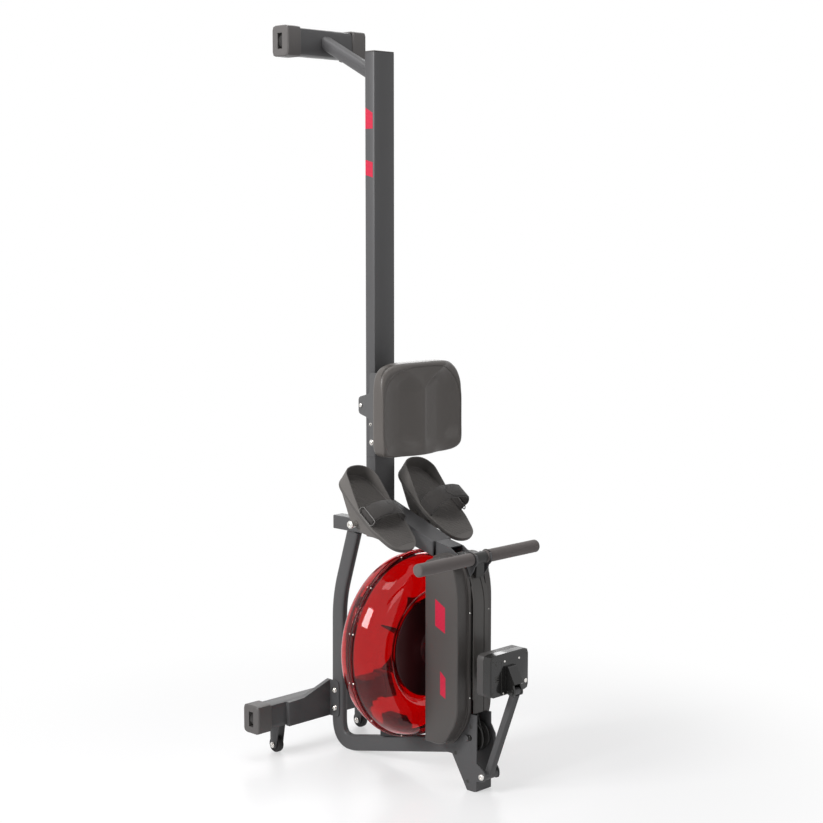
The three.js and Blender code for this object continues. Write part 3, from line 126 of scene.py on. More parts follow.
def pale_floor():
    """White board that keeps the shadows near the machine and fades to pure white further out."""
    material = bpy.data.materials.new("pale_floor")
    material.use_nodes = True
    tree = material.node_tree
    board = wired(tree, tree.nodes["Principled BSDF"], {
        "Base Color": (0.86, 0.86, 0.87, 1), "Roughness": 0.32, "Specular IOR Level": 0.35})
    place = new_node(tree, "NewGeometry").outputs["Position"]
    away = new_node(tree, "VectorMath", {0: place, 1: (0.0, 0.25, 0.0)}, operation="DISTANCE")
    fade = new_node(tree, "MapRange", {
        "Value": away.outputs["Value"], "From Min": floor_white_from, "From Max": floor_white_to,
        "To Min": 0.52}, interpolation_type="SMOOTHSTEP")
    share = new_node(tree, "Math", {0: fade.outputs["Result"], 1: seen_directly(tree)},
                     operation="MULTIPLY").outputs[0]
    white = new_node(tree, "Emission", {"Strength": 1.0}).outputs["Emission"]
    mix = new_node(tree, "MixShader", {"Fac": share, 1: board.outputs["BSDF"], 2: white})
    wired(tree, tree.nodes["Material Output"], {"Surface": mix.outputs["Shader"]})
    return material


floor_mesh.materials.append(pale_floor())

world = bpy.data.worlds.new("white_surround")
world.use_nodes = True
bpy.context.scene.world = world
world_level = new_node(world.node_tree, "MapRange", {
    "Value": seen_directly(world.node_tree), "To Min": 0.30, "To Max": 1.0})
wired(world.node_tree, world.node_tree.nodes["Background"], {
    "Color": (1, 1, 1, 1), "Strength": world_level.outputs["Result"]})
bpy.context.scene.view_settings.view_transform = "Standard"

panels = [
    ("near_side_panel", (-3.4, 0.9, 2.5), 1.5, 128), ("front_panel", (0.6, -3.6, 2.2), 1.6, 16),
    ("top_panel", (-0.4, 0.2, 3.6), 1.8, 34), ("back_panel", (2.4, 3.0, 2.4), 1.6, 26),
]
panel_aim = Vector((0, 0.25, 0.9))
for panel_name, panel_place, panel_size, panel_watts in panels:
    lamp = bpy.data.lights.new(panel_name, "AREA")
    lamp.shape = "SQUARE"
    lamp.size = panel_size
    lamp.energy = panel_watts
    panel = placed(panel_name, lamp)
    panel.location = panel_place
    panel.rotation_euler = (panel_aim - panel.location).to_track_quat("-Z", "Y").to_euler()

# Rail and lower beam: two lengths of rectangular steel tube, joined end to end by an inner sleeve,
# sprayed in charcoal powder and baked. The sleeve's joint shows as a fine line below the seat.
slot_of = {row["node"]: row["material_slot"] for row in frame["record"]["subparts"]}
grain_sockets = [
    ("Colour", "Color", "INPUT", (0.1, 0.1, 0.1, 1)), ("Patches", "Float", "INPUT", 0.1),
    ("Roughness", "Float", "INPUT", 0.5), ("Spread", "Float", "INPUT", 0.1),
    ("Grains per Metre", "Float", "INPUT", 900), ("Relief", "Float", "INPUT", 0.2),
    ("Colour", "Color", "OUTPUT", None), ("Roughness", "Float", "OUTPUT", None),
    ("Normal", "Vector", "OUTPUT", None),
]


def effect_group(name, sockets):
    """A node group with the named sockets, then its inputs, then the node that takes what it puts out."""
    group = bpy.data.node_groups.new(name, "ShaderNodeTree")
    for label, kind, direction, value in sockets:
        made = group.interface.new_socket(name=label, in_out=direction, socket_type="NodeSocket" + kind)
        if value is not None:
            made.default_value = value
    return group, group.nodes.new("NodeGroupInput").outputs, group.nodes.new("NodeGroupOutput")


def grain_group():
    """Faint patches in a colour, a roughness that wanders with them, and a fine pitted relief."""
    group, given, result = effect_group("surface_grain", grain_sockets)
    place = new_node(group, "TexCoord").outputs["Object"]
    patch = new_node(group, "TexNoise", {"Vector": place, "Scale": 9, "Detail": 6}).outputs["Fac"]
    fine = new_node(group, "TexNoise", {"Vector": place, "Scale": given["Grains per Metre"], "Detail": 3})
    centred = new_node(group, "Math", {0: patch, 1: 2, 2: -1}, operation="MULTIPLY_ADD").outputs[0]

    def wander(start, by):
        return new_node(group, "Math", {0: centred, 1: given[by], 2: start},
                        operation="MULTIPLY_ADD").outputs[0]

    tint = new_node(group, "VectorMath", {"Vector": given["Colour"], "Scale": wander(1.0, "Patches")},
                    operation="SCALE")
    relief = new_node(group, "Bump", {
        "Distance": 0.0004, "Strength": given["Relief"], "Height": fine.outputs["Fac"]})
    wired(group, result, {"Colour": tint.outputs["Vector"], "Normal": relief.outputs["Normal"],
                          "Roughness": wander(given["Roughness"], "Spread")})
    return group


surface_grain = grain_group()


def grained(name, colour, rough, patches=0.08, spread=0.06, grains=900, relief=0.18, metallic=0.0):
    """A material whose colour, roughness and relief come from the grain group."""
    material = bpy.data.materials.new(name)
    material.use_nodes = True
    tree = material.node_tree
    grain = new_node(tree, "Group", {
        "Colour": (*colour, 1), "Patches": patches, "Roughness": rough, "Spread": spread,
        "Grains per Metre": grains, "Relief": relief}, node_tree=surface_grain).outputs
    wired(tree, tree.nodes["Principled BSDF"], {
        "Base Color": grain["Colour"], "Roughness": grain["Roughness"], "Normal": grain["Normal"],
        "Metallic": metallic, "Specular IOR Level": 0.3})
    return material


def shade(mesh, limit=35):
    """Smooth faces that meet at less than the limit in degrees, crisp edges beyond it."""
    mesh.shade_smooth()
    mesh.set_sharp_from_angle(angle=math.radians(limit))


def fit(piece, node):
    """Puts a made piece in place of a CAD node, on that node's body."""
    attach(piece, frame["nodes"][node]["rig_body"])
    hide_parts(node)
    return piece


def broken_edges(node, material, edge=0.0008, steps=2):
    """The node's own form with its sharp edges rounded off, as paint, moulding or a file leaves them."""
    mesh = frame["nodes"][node].data.copy()
    form = bmesh.new()
    form.from_mesh(mesh)
    bmesh.ops.remove_doubles(form, verts=form.verts, dist=1e-6)
    bmesh.ops.dissolve_limit(form, angle_limit=math.radians(1), verts=form.verts, edges=form.edges)
    form.to_mesh(mesh)
    form.free()
    shade(mesh)
    mesh.materials.clear()
    mesh.materials.append(material)
    piece = placed(node + "_finished", mesh)
    rounding = piece.modifiers.new("broken_edges", "BEVEL")
    rounding.width = edge
    rounding.segments = steps
    rounding.limit_method = "ANGLE"
    rounding.angle_limit = math.radians(40)
    rounding.harden_normals = True
    fit(piece, node)


charcoal_powder = grained("charcoal_powder_coat", (0.074, 0.073, 0.075), 0.42, grains=1400, relief=0.22)
for beam_part in ("lower_beam", "seat_rail"):
    broken_edges(beam_part, charcoal_powder, edge=0.0006)


# Stripes on the rail's near side: printed red blocks with slanted ends above and below a bare
# panel. They are vinyl, a fraction of a millimetre thick, and stick to the paint.
def opened(material):
    """A grained material's tree, its shader and the grain's outputs."""
    tree = material.node_tree
    return tree, tree.nodes["Principled BSDF"], next(n for n in tree.nodes if n.type == "GROUP").outputs


def striped_vinyl():
    """Red print that breaks into fine level lines."""
    material = grained("red_vinyl", (0.56, 0.019, 0.055), 0.38, patches=0.04, relief=0.05)
    tree, shader, grain = opened(material)
    place = new_node(tree, "TexCoord").outputs["Object"]
    lines = new_node(tree, "TexWave", {"Vector": place, "Scale": 95}, bands_direction="Z")
    ink = new_node(tree, "MapRange", {
        "Value": lines.outputs["Fac"], "From Min": 0.55, "From Max": 0.75, "To Max": 0.45})
    mix = new_node(tree, "Mix", data_type="RGBA")
    wired(tree, mix, {"Factor": ink.outputs["Result"], "A": grain["Colour"], "B": (0.16, 0.008, 0.02, 1)})
    wired(tree, shader, {"Base Color": mix.outputs["Result"]})
    return material


red_vinyl = striped_vinyl()


def lofted(name, material, *skins, closed=False, smooth=35):
    """A piece of one or more skins, each drawn over rings that have the same number of points. An open
    skin gets flat ends where its end rings aren't drawn in to a point."""
    form = bmesh.new()
    for rings in skins:
        made = [[form.verts.new(p) for p in ring] for ring in rings]
        for start, end in zip(made, made[1:] + made[:1] if closed else made[1:]):
            for i in range(len(start)):
                form.faces.new((start[i - 1], start[i], end[i], end[i - 1]))
        for ring in () if closed else (made[0], made[-1]):
            if (ring[0].co - ring[1].co).length > 1e-7:
                form.faces.new(ring)
    bmesh.ops.remove_doubles(form, verts=form.verts, dist=1e-7)
    bmesh.ops.recalc_face_normals(form, faces=form.faces)
    mesh = bpy.data.meshes.new(name)
    form.to_mesh(mesh)
    form.free()
    shade(mesh, smooth)
    mesh.materials.append(material)
    return placed(name, mesh)


def fixed(piece, body):
    """Puts an added piece, which stands for no CAD node, on a body."""
    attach(piece, body)


def stripe(name, x, corners):
    """A flat block of print on a face that looks towards -X, from its (y, z) corners."""
    rings = [[Vector((x + dx, y, z)) for y, z in corners] for dx in (-0.0002, 0.0002)]
    fixed(lofted(name, red_vinyl, rings), "base")


rail_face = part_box("seat_rail")[0].x - 0.0001
stripe("rail_stripe_upper", rail_face, [(0.3775, 1.780), (0.3775, 1.724), (0.3500, 1.724), (0.3500, 1.765)])
stripe("rail_stripe_lower", rail_face, [(0.3775, 1.643), (0.3775, 1.603), (0.3500, 1.596), (0.3500, 1.636)])

# Rail end cap and stops: the cap is a moulded plug pressed into the tube's open end. The stops are
# rubber blocks screwed to the rail's back, where the seat's small roller runs between them.
cap_grey = grained("warm_grey_moulding", (0.098, 0.092, 0.090), 0.48, grains=2200, relief=0.14)
black_rubber = grained("black_rubber", (0.022, 0.021, 0.021), 0.72, grains=1500, relief=0.25)
broken_edges("rail_end_cap", cap_grey, edge=0.0012, steps=3)
for stop_name in ("lower", "upper"):
    broken_edges(f"rail_stop_{stop_name}", black_rubber, edge=0.0012)

# Stabilisers and their ends: a round-cornered tube across the machine at each end of it, with moulded
# caps. Each cap has a slot for a thumbwheel that screws a foot in or out, to level the rail.
sides = (("near", -1), ("far", 1))
for place_name in ("rear", "front"):
    broken_edges(f"{place_name}_stabiliser", charcoal_powder, edge=0.0007)
    for side_name, side in sides:
        broken_edges(f"{place_name}_end_cap_{side_name}", cap_grey, edge=0.0016, steps=3)

thumbwheel_black = grained("thumbwheel_moulding", (0.036, 0.034, 0.033), 0.5, grains=2200, relief=0.2)


def middle_and_reach(node):
    """The middle of a CAD node's box, and how far the box goes from there along each axis."""
    low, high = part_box(node)
    return (low + high) / 2, (high - low) / 2


def ribbed(name, node, rings, ribs, cut):
    """A knurled turning on an axis along Y, in a CAD node's place. Its rings are (radius, distance from
    the node's low end, 1 where ribs are cut)."""
    middle, reach = middle_and_reach(node)
    start = middle.y - reach.y
    made = []
    for radius, along, rim in rings:
        spokes = [(max(radius - cut * rim * (i % 2), 0), math.pi * i / ribs) for i in range(2 * ribs)]
        made.append([Vector((middle.x + r * math.cos(a), start + along, middle.z + r * math.sin(a)))
                     for r, a in spokes])
    fit(lofted(name, thumbwheel_black, made), node)


for place_name in ("rear", "front"):
    for side_name, side in sides:
        wheel_node = f"{place_name}_level_wheel_{side_name}"
        wheel_reach = middle_and_reach(wheel_node)[1]
        disc, deep, stem, pad, pad_high = wheel_reach.z, 2 * wheel_reach.y, 0.005, 0.013, 0.005
        ribbed(wheel_node + "_ribbed", wheel_node, [
            (0, 0, 0), (0.9 * disc, 0, 0), (disc, 0.0012, 1), (disc, 0.0148, 1), (0.9 * disc, 0.016, 0),
            (stem, 0.016, 0), (stem, deep - pad_high, 0), (pad, deep - pad_high, 0), (pad, deep - 0.001, 0),
            (pad - 0.001, deep, 0), (0, deep, 0)], 40, 0.0011)

# Rear leg: a round-sided steel tube that slants from a plate on the rail's back up to the rear
# stabiliser. Four bolts with domed heads go through the plate into the rail.
zinc_plate = grained("bright_zinc", (0.78, 0.76, 0.73), 0.24, patches=0.10, grains=5000, relief=0.08,
                     metallic=1.0)


def turned(name, profile, place, way, material, steps=48, closed=False, smooth=35):
    """A lathe form. A profile point is (radius, distance along the axis, sides); with sides its
    ring is a polygon, as in a wrench socket."""
    turn = Vector(way).to_track_quat("Z", "Y").to_matrix()
    rings = []
    for radius, along, *corners in profile:
        ring = []
        for i in range(steps):
            angle = 2 * math.pi * i / steps
            reach = radius
            if corners:
                wedge = 2 * math.pi / corners[0]
                reach = radius * math.cos(wedge / 2) / math.cos(angle % wedge - wedge / 2)
            point = Vector((reach * math.cos(angle), reach * math.sin(angle), along))
            ring.append(Vector(place) + turn @ point)
        rings.append(ring)
    return lofted(name, material, rings, closed=closed, smooth=smooth)


def button_bolt(name, place, way, body, radius=0.0065, height=0.0042):
    """A domed bolt head with a six-sided socket, on a thin washer."""
    rim, flat = 1.32 * radius, 0.16 * height
    head = [(1, 0), (1, 0.22), (0.93, 0.55), (0.76, 0.86), (0.58, 1), (0.44, 1, 6), (0.42, 0.35, 6),
            (0, 0.35)]
    profile = [(0, 0), (rim, 0), (rim, flat)] + [(r * radius, a * height + flat, *s) for r, a, *s in head]
    fixed(turned(name, profile, place, way, zinc_plate, steps=24), body)


broken_edges("rear_leg", charcoal_powder, edge=0.0008)
leg_foot, leg_bolt_across, leg_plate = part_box("rear_leg")[0], 0.021, 0.004
for row, bolt_rise in enumerate((0.012, 0.094)):
    for side_name, side in sides:
        spot = (side * leg_bolt_across, leg_foot.y + leg_plate, leg_foot.z + bolt_rise)
        button_bolt(f"leg_bolt_{side_name}_{row}", spot, (0, 1, 0), "base", radius=0.0055)

# Front stabiliser's fittings: the wing plate is part of the tube's welding, and wraps round the
# frame tube with two bolts. Solid rubber wheels turn on bolts in the forks, to roll it away.
wing_bolt_across, wing_bolt_y = 0.0143, 0.535
for row, bolt_z in enumerate((0.110, 0.161)):
    for side_name, side in sides:
        button_bolt(f"wing_bolt_{side_name}_{row}", (side * wing_bolt_across, wing_bolt_y, bolt_z),
                    (side, 0, 0), "base", radius=0.0075, height=0.0046)


def mirrored(half):
    """A profile that is the same on both sides of its middle."""
    return half + [(r, -along, *corners) for r, along, *corners in reversed(half)]


wheel_tread = grained("wheel_rubber", (0.026, 0.025, 0.025), 0.62, grains=1200, relief=0.3)
wheel_bore, fork_and_washer = 0.0053, 0.007
for side_name, side in sides:
    wheel_node = f"transport_wheel_{side_name}"
    middle, wheel_reach = middle_and_reach(wheel_node)
    tyre, half = wheel_reach.z, wheel_reach.x
    wheel_profile = mirrored([
        (wheel_bore, -half), (0.42 * tyre, -half), (0.55 * tyre, -0.72 * half), (0.76 * tyre, -0.72 * half),
        (0.80 * tyre, -half), (0.90 * tyre, -0.94 * half), (0.975 * tyre, -0.72 * half),
        (tyre, -0.4 * half)])
    fit(turned(f"wheel_{side_name}_turned", wheel_profile, middle, (1, 0, 0), wheel_tread, 64, True),
        wheel_node)
    for bolt_name, way in (("out", side), ("in", -side)):
        spot = middle + Vector((way * (half + fork_and_washer), 0, 0))
        button_bolt(f"wheel_bolt_{side_name}_{bolt_name}", spot, (way, 0, 0), "base", radius=0.0062)


# Frame tube: one oval tube, bent from under the beam down behind the tank and forward along the
# floor. A square stub is welded across its top and a lug closes its front end.
def eased(points, closed=False, steps=6):
    """A line through corners (u, v, radius), each turned with a smooth curve of that reach."""
    line = []
    for i, (u, v, *radius) in enumerate(points):
        here = Vector((u, v))
        if not radius or (not closed and i in (0, len(points) - 1)):
            line.append(here)
            continue
        back = Vector(points[i - 1][:2]) - here
        on = Vector(points[(i + 1) % len(points)][:2]) - here
        reach = min(radius[0], 0.49 * back.length, 0.49 * on.length)
        start, end = here + back.normalized() * reach, here + on.normalized() * reach
        for k in range(steps + 1):
            t = k / steps
            line.append((1 - t) ** 2 * start + 2 * t * (1 - t) * here + t * t * end)
    return line


def rounded_box_ring(width, depth, corner, steps=5):
    """A closed ring of (across, through) points, a rectangle with round corners."""
    u, v = width / 2, depth / 2
    return eased([(-u, -v, corner), (u, -v, corner), (u, v, corner), (-u, v, corner)], True, steps)


def beside(line, closed=False):
    """Each point of a flat line, with the way to its left."""
    pairs = []
    for i, here in enumerate(line):
        before = line[i - 1] if closed else line[max(i - 1, 0)]
        after = line[(i + 1) % len(line)] if closed else line[min(i + 1, len(line) - 1)]
        ahead = (after - before).normalized()
        pairs.append((here, Vector((-ahead.y, ahead.x))))
    return pairs


def bar(low, high, corner):
    """The two end rings of a bar along Y with rounded long edges."""
    middle_x, middle_z = (low[0] + high[0]) / 2, (low[2] + high[2]) / 2
    ring = rounded_box_ring(high[0] - low[0], high[2] - low[2], corner)
    return [[Vector((middle_x + u, y, middle_z + v)) for u, v in ring] for y in (low[1], high[1])]


tube_back, tube_slope, tube_front, floor_clear = 0.528, 0.215, 0.064, 0.0002


def tube_height(y):
    """Middle of the tube's sloping run along the floor."""
    return 0.074786 - (y - 0.217) * tube_slope


tube_line = eased([(0.463, 0.628), (0.525, 0.430, 0.060), (tube_back, tube_height(tube_back), 0.074),
                   (tube_front, tube_height(tube_front))], steps=14)
tube_section = rounded_box_ring(0.022, 0.045, 0.0085)
tube_rings = [[Vector((u, here.x - left.x * v, max(here.y - left.y * v, floor_clear)))
               for u, v in tube_section] for here, left in beside(tube_line)]
lug_z = tube_height(tube_front + 0.017)
tube = lofted("frame_tube_bent", charcoal_powder, tube_rings,
              bar((-0.0256, 0.065, lug_z - 0.0195), (0.0256, 0.098, lug_z + 0.0195), 0.003),
              bar((-0.019, 0.3803, 0.628), (0.019, 0.530, 0.666), 0.0035))
fit(tube, "frame_tube")
fixed(lofted("stub_end_plug", cap_grey, bar((-0.0165, 0.5298, 0.6305), (0.0165, 0.5306, 0.6635), 0.003)),
      "base")

# Neck: folded steel plate, welded into a box that carries the beam's end over the tank to its mouth.
# The pull strap leaves there over a small steel roller on a pin.
broken_edges("neck", charcoal_powder, edge=0.0020, steps=4)
satin_steel = grained("satin_steel", (0.48, 0.47, 0.46), 0.33, patches=0.12, grains=4000, relief=0.10,
                      metallic=1.0)
roller_middle, roller_reach = middle_and_reach("outlet_roller")
roller_end, roller_round = roller_reach.x, roller_reach.z
roller_profile = mirrored([
    (0, -roller_end), (0.003, -roller_end), (0.003, -roller_end + 0.0025),
    (roller_round - 0.0008, -roller_end + 0.0028), (roller_round, -roller_end + 0.0036)])
fit(turned("outlet_roller_turned", roller_profile, roller_middle, (1, 0, 0), satin_steel), "outlet_roller")

# Front bracket: two laser-cut steel plates with a plate between them, powder coated. They carry the
# tank, drum, pulley and casings. Open holes show on their near and far faces as flat dark discs of
# painted shade, beside black screws.
broken_edges("front_bracket", charcoal_powder, edge=0.0006)
bracket_face = 0.0289
# Flat dark colour laid in holes, recesses and grooves: painted shade where they fall into shadow.
painted_recess_shade = grained("socket_shadow", (0.05, 0.048, 0.045), 0.6)
black_screw = grained("black_oxide_screw", (0.028, 0.027, 0.026), 0.36, grains=3000, relief=0.1,
                      metallic=0.6)
bracket_fixings = [
    ("hole_upper", 0.000, 0.172, 0.0042), ("screw", 0.005, 0.142, 0.0068),
    ("hole_back", 0.054, 0.091, 0.0045), ("hole_low", 0.011, 0.024, 0.0040),
]
for fixing, y, z, r in bracket_fixings:
    profile, material, steps = [(0, 0), (1.16 * r, 0), (1.16 * r, 0.0005), (r, 0.0007), (0.98 * r, 0.0003),
                                (0, 0.0003)], painted_recess_shade, 30
    if fixing == "screw":
        profile, material, steps = [(0, 0), (1.25 * r, 0), (1.25 * r, 0.0008), (r, 0.0009),
                                    (0.96 * r, 0.0026), (0.78 * r, 0.0034), (0.42 * r, 0.0036, 6),
                                    (0.40 * r, 0.0014, 6), (0, 0.0014)], black_screw, 36
    for side_name, side in sides:
        fixed(turned(f"bracket_{fixing}_{side_name}", profile, (side * (bracket_face - 0.0002), y, z),
                     (side, 0, 0), material, steps), "base")

# Tank: two shells of clear polycarbonate dyed red, blown or pressed into deep bulges. Their flanges
# clamp a rubber seal with a ring of small screws, each with its nut on the back shell's flange.
tank_height, tank_radius, tank_flange = 0.353, 0.254, 0.224
tank_seal, tank_lip, tank_wall, fit_gap, lip_round = 0.003, 0.004, 0.004, 0.0003, 0.0012
tank_red = grained("dyed_clear_red", (0.66, 0.008, 0.016), 0.035, patches=0.10, spread=0.012, grains=60,
                   relief=0.05)
wired(tank_red.node_tree, tank_red.node_tree.nodes["Principled BSDF"], {
    "Transmission Weight": 1.0, "IOR": 1.40, "Specular IOR Level": 0.6})


def fours(points):
    """Each stretch of a line as its two ends, with the point before it and the point after it."""
    spots = [Vector(p) for p in points]
    spots = [2 * spots[0] - spots[1]] + spots + [2 * spots[-1] - spots[-2]]
    return list(zip(spots, spots[1:], spots[2:], spots[3:]))


def curve_through(points, steps=8):
    """A smooth line through (u, v) points, with the ends as they are."""
    line = []
    for a, b, c, d in fours(points):
        for t in (k / steps for k in range(steps)):
            line.append(0.5 * (2 * b + (c - a) * t + (2 * a - 5 * b + 4 * c - d) * t * t
                               + (3 * b - a - 3 * c + d) * t ** 3))
    return line + [Vector(points[-1])]


def tank_shell(side_name, shares, face, depth, way, middle):
    """One shell from its flange to its middle. The shares are (radius, depth) of the bulge."""
    edge = tank_radius - tank_lip - 0.001
    bulge = [(edge, face)] + [(r * tank_radius, face + way * d * depth) for r, d in shares]
    outer = curve_through(bulge, 7)
    if middle[0][1] == bulge[-1][1]:
        outer += [Vector(p) for p in middle]
    else:
        outer += eased([bulge[-1], (*middle[0], 0.012), middle[1]], steps=7)[1:]
    inner = [here + way * tank_wall * left for here, left in beside(outer)]
    inner[0].y = face
    inner[-1].x = outer[-1].x
    rim = [Vector((tank_radius - in_by, face + way * out)) for in_by, out in (
        (lip_round, 0), (0, lip_round), (0, tank_lip - lip_round), (lip_round, tank_lip),
        (tank_radius - edge, tank_lip))]
    start = next(i for i, p in enumerate(outer) if abs(p.y - face) >= tank_lip)
    profile = [(p.x, p.y) for p in rim + outer[start:] + list(reversed(inner))]
    fit(turned(f"tank_{side_name}_shell", profile, (0, 0, tank_height), (0, 1, 0), tank_red, steps=144,
               closed=True, smooth=50), f"tank_{side_name}")


hub_disc, hub_recess, hub_boss = 0.138, tank_flange - 0.047, 0.0143
front_bulge = [(0.972, 0.29), (0.945, 0.59), (0.89, 0.83), (0.811, 0.96), (0.724, 1), (0.646, 0.95),
               (0.583, 0.78)]
front_face, back_face = (tank_flange + way * (tank_seal / 2 + fit_gap) for way in (-1, 1))
tank_shell("front", front_bulge, front_face, front_face - 0.148, -1,
           [(hub_disc, hub_recess), (hub_boss + fit_gap, hub_recess)])
tank_back_end = 0.291
tank_shell("back", [(0.972, 0.33), (0.937, 0.66), (0.866, 0.89), (0.772, 1)], back_face,
           tank_back_end - back_face, 1, [(0.12, tank_back_end), (0.0086, tank_back_end)])

seal_in, seal_out = tank_radius - tank_lip - tank_wall - 0.009, tank_radius - 0.0010
seal_profile = mirrored([(seal_in, -tank_seal / 2), (seal_out - 0.0006, -tank_seal / 2),
                         (seal_out, -tank_seal / 2 + 0.0008)])
fit(turned("tank_seal_ring", seal_profile, (0, tank_flange, tank_height), (0, 1, 0), black_rubber,
           steps=144, closed=True), "tank_gasket")

rim_screws, screw_ring = 12, 0.2512
screw_head = [(0, 0), (0.0026, 0), (0.0026, 0.0008), (0.0021, 0.0016), (0.0012, 0.0018),
              (0.0011, 0.0009, 6), (0, 0.0009)]
screw_nut = [(0, 0), (0.0026, 0, 6), (0.0026, 0.0018, 6), (0.0015, 0.0022), (0.0013, 0.0034), (0, 0.0036)]
for i in range(rim_screws):
    angle = 2 * math.pi * (i + 0.5) / rim_screws
    for part, y, way, profile in (("screw", front_face - tank_lip, -1, screw_head),
                                  ("nut", back_face + tank_lip, 1, screw_nut)):
        spot = (screw_ring * math.cos(angle), y - way * 0.0003, tank_height + screw_ring * math.sin(angle))
        fixed(turned(f"rim_{part}_{i}", profile, spot, (0, way, 0), zinc_plate, steps=18), "base")

# Filler plug: a black moulded screw cap in the back shell, with a sunken middle and a ribbed rim. The
# tank is filled there.
plug_reach = middle_and_reach("fill_plug")[1]
plug_rim, plug_deep, plug_stem = plug_reach.x, 2 * plug_reach.y, 0.0127
plug_seat = tank_back_end + fit_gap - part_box("fill_plug")[0].y
ribbed("fill_plug_cap", "fill_plug", [
    (0, 0, 0), (plug_stem - 0.001, 0, 0), (plug_stem, 0.001, 0), (plug_stem, plug_seat, 0),
    (plug_rim, plug_seat, 1), (plug_rim, plug_deep - 0.0012, 1), (plug_rim - 0.0014, plug_deep, 0),
    (0.0072, plug_deep, 0), (0.0066, plug_deep - 0.0018, 0), (0, plug_deep - 0.0018, 0)], 30, 0.0008)

# Hub and paddle: the hub is a black moulded dish that closes the tank's middle and seals the shaft.
# The paddle is a black moulding of six blades, and turns on the ground steel shaft.
hub_black = grained("hub_moulding", (0.040, 0.007, 0.008), 0.30, grains=2400, relief=0.12)
hub_low, hub_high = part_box("tank_hub")
hub_bore, hub_plate, hub_rim, hub_neck, hub_front = 0.0083, 0.007, 0.003, 0.040, 0.1113
hub_face = hub_recess - fit_gap
hub_profile = [
    (hub_bore, hub_low.y), (hub_neck - 0.0003, hub_low.y), (hub_neck, hub_low.y + 0.0006),
    (hub_neck, hub_front), (0.048, hub_front), (0.048, 0.150), (0.052, 0.1595), (0.064, 0.1655),
    (0.080, hub_face - hub_plate)]
hub_profile += [(hub_disc - r * hub_rim, hub_face - a * hub_plate) for r, a in (
    (2, 1), (1.3, 0.85), (1, 0.5), (1.3, 0.15), (2, 0))]
hub_profile += [(hub_boss, hub_face), (hub_boss, hub_high.y - 0.0008), (hub_boss - 0.0008, hub_high.y),
                (hub_bore, hub_high.y)]
fit(turned("tank_hub_turned", hub_profile, (0, 0, tank_height), (0, 1, 0), hub_black, steps=96,
           closed=True), "tank_hub")
broken_edges("tank_shaft", satin_steel, edge=0.0006)
broken_edges("impeller", hub_black, edge=0.0011, steps=3)

# Tank support: a rubber block on the bottom tube, cut to the back shell's curve. It steadies the
# tank where the tube passes close to it.
broken_edges("tank_support", black_rubber, edge=0.0015, steps=3)

# Drum and pulley: black nylon turnings on the tank's shaft and on a bracket pin. The pull strap
# winds on the drum's back, and the elastic cord that takes it back winds on its front.
nylon_black = grained("black_nylon", (0.030, 0.029, 0.028), 0.40, grains=2600, relief=0.15)
broken_edges("strap_drum", nylon_black, edge=0.0006)
pulley_middle, pulley_reach = middle_and_reach("bungee_pulley")
pulley_half, pulley_radius, pulley_bore = pulley_reach.x, pulley_reach.z, 0.0053
pulley_hub, pulley_web, cord_groove, groove_half = 0.0125, 0.0072, 0.023, 0.005
pulley_profile = mirrored([
    (pulley_bore, -pulley_half), (pulley_hub, -pulley_half), (pulley_hub + 0.001, -pulley_web - 0.001),
    (0.0200, -pulley_web), (0.0335, -pulley_web), (0.0360, -pulley_half + 0.001),
    (pulley_radius - 0.0008, -pulley_half), (pulley_radius, -pulley_half + 0.0008),
    (pulley_radius, -pulley_half + 0.0028), (cord_groove + 0.003, -groove_half - 0.0006),
    (cord_groove, -groove_half)])
fit(turned("bungee_pulley_turned", pulley_profile, pulley_middle, (1, 0, 0), nylon_black, steps=72,
           closed=True), "bungee_pulley")

# Elastic cord: rubber strands in a woven black cover, held taut from the drum down to the pulley,
# round it and back into the bottom tube. Only a short run of it shows, near the pulley.
cord_diameter, cord_length = 0.007, 0.375
cord_stops = [
    (0.0244, 0.061, 0.351), (0.0244, 0.060, 0.331), (0.012, 0.030, 0.240), (0, -0.0127, 0.146),
    (0, -0.0132, 0.1386), (0, -0.0123, 0.1313), (0, -0.0099, 0.1259), (0, -0.0055, 0.1206),
    (0, -0.0002, 0.1166), (0, 0.0068, 0.1135), (0, 0.014, 0.1126), (0, 0.048, 0.1146),
    (0, 0.074, 0.110), (0, 0.118, 0.101),
]
weave_sockets = [
    ("Colour", "Color", "INPUT", (0.1, 0.1, 0.1, 1)), ("Normal", "Vector", "INPUT", None),
    ("Across", "Float", "INPUT", 420), ("Along", "Float", "INPUT", 420), ("Relief", "Float", "INPUT", 0.5),
    ("Colour", "Color", "OUTPUT", None), ("Normal", "Vector", "OUTPUT", None),
]


def weave_group():
    """Threads that cross: two fine bands of waves, one over the other, that shade and lift a surface."""
    group, given, result = effect_group("crossed_threads", weave_sockets)
    place = new_node(group, "TexCoord").outputs["Object"]
    bands = [new_node(group, "TexWave", {"Vector": place, "Scale": given[label], "Distortion": 0.8},
                      bands_direction=way).outputs["Fac"] for way, label in (("X", "Across"), ("Z", "Along"))]
    both = new_node(group, "Math", {0: bands[0], 1: bands[1]}, operation="MAXIMUM").outputs[0]
    bump = new_node(group, "Bump", {
        "Strength": given["Relief"], "Distance": 0.0004, "Height": both, "Normal": given["Normal"]})
    light = new_node(group, "MapRange", {"Value": both, "To Min": 0.72, "To Max": 1.12})
    tint = new_node(group, "VectorMath", {"Vector": given["Colour"], "Scale": light.outputs["Result"]},
                    operation="SCALE")
    wired(group, result, {"Colour": tint.outputs["Vector"], "Normal": bump.outputs["Normal"]})
    return group


crossed_threads = weave_group()


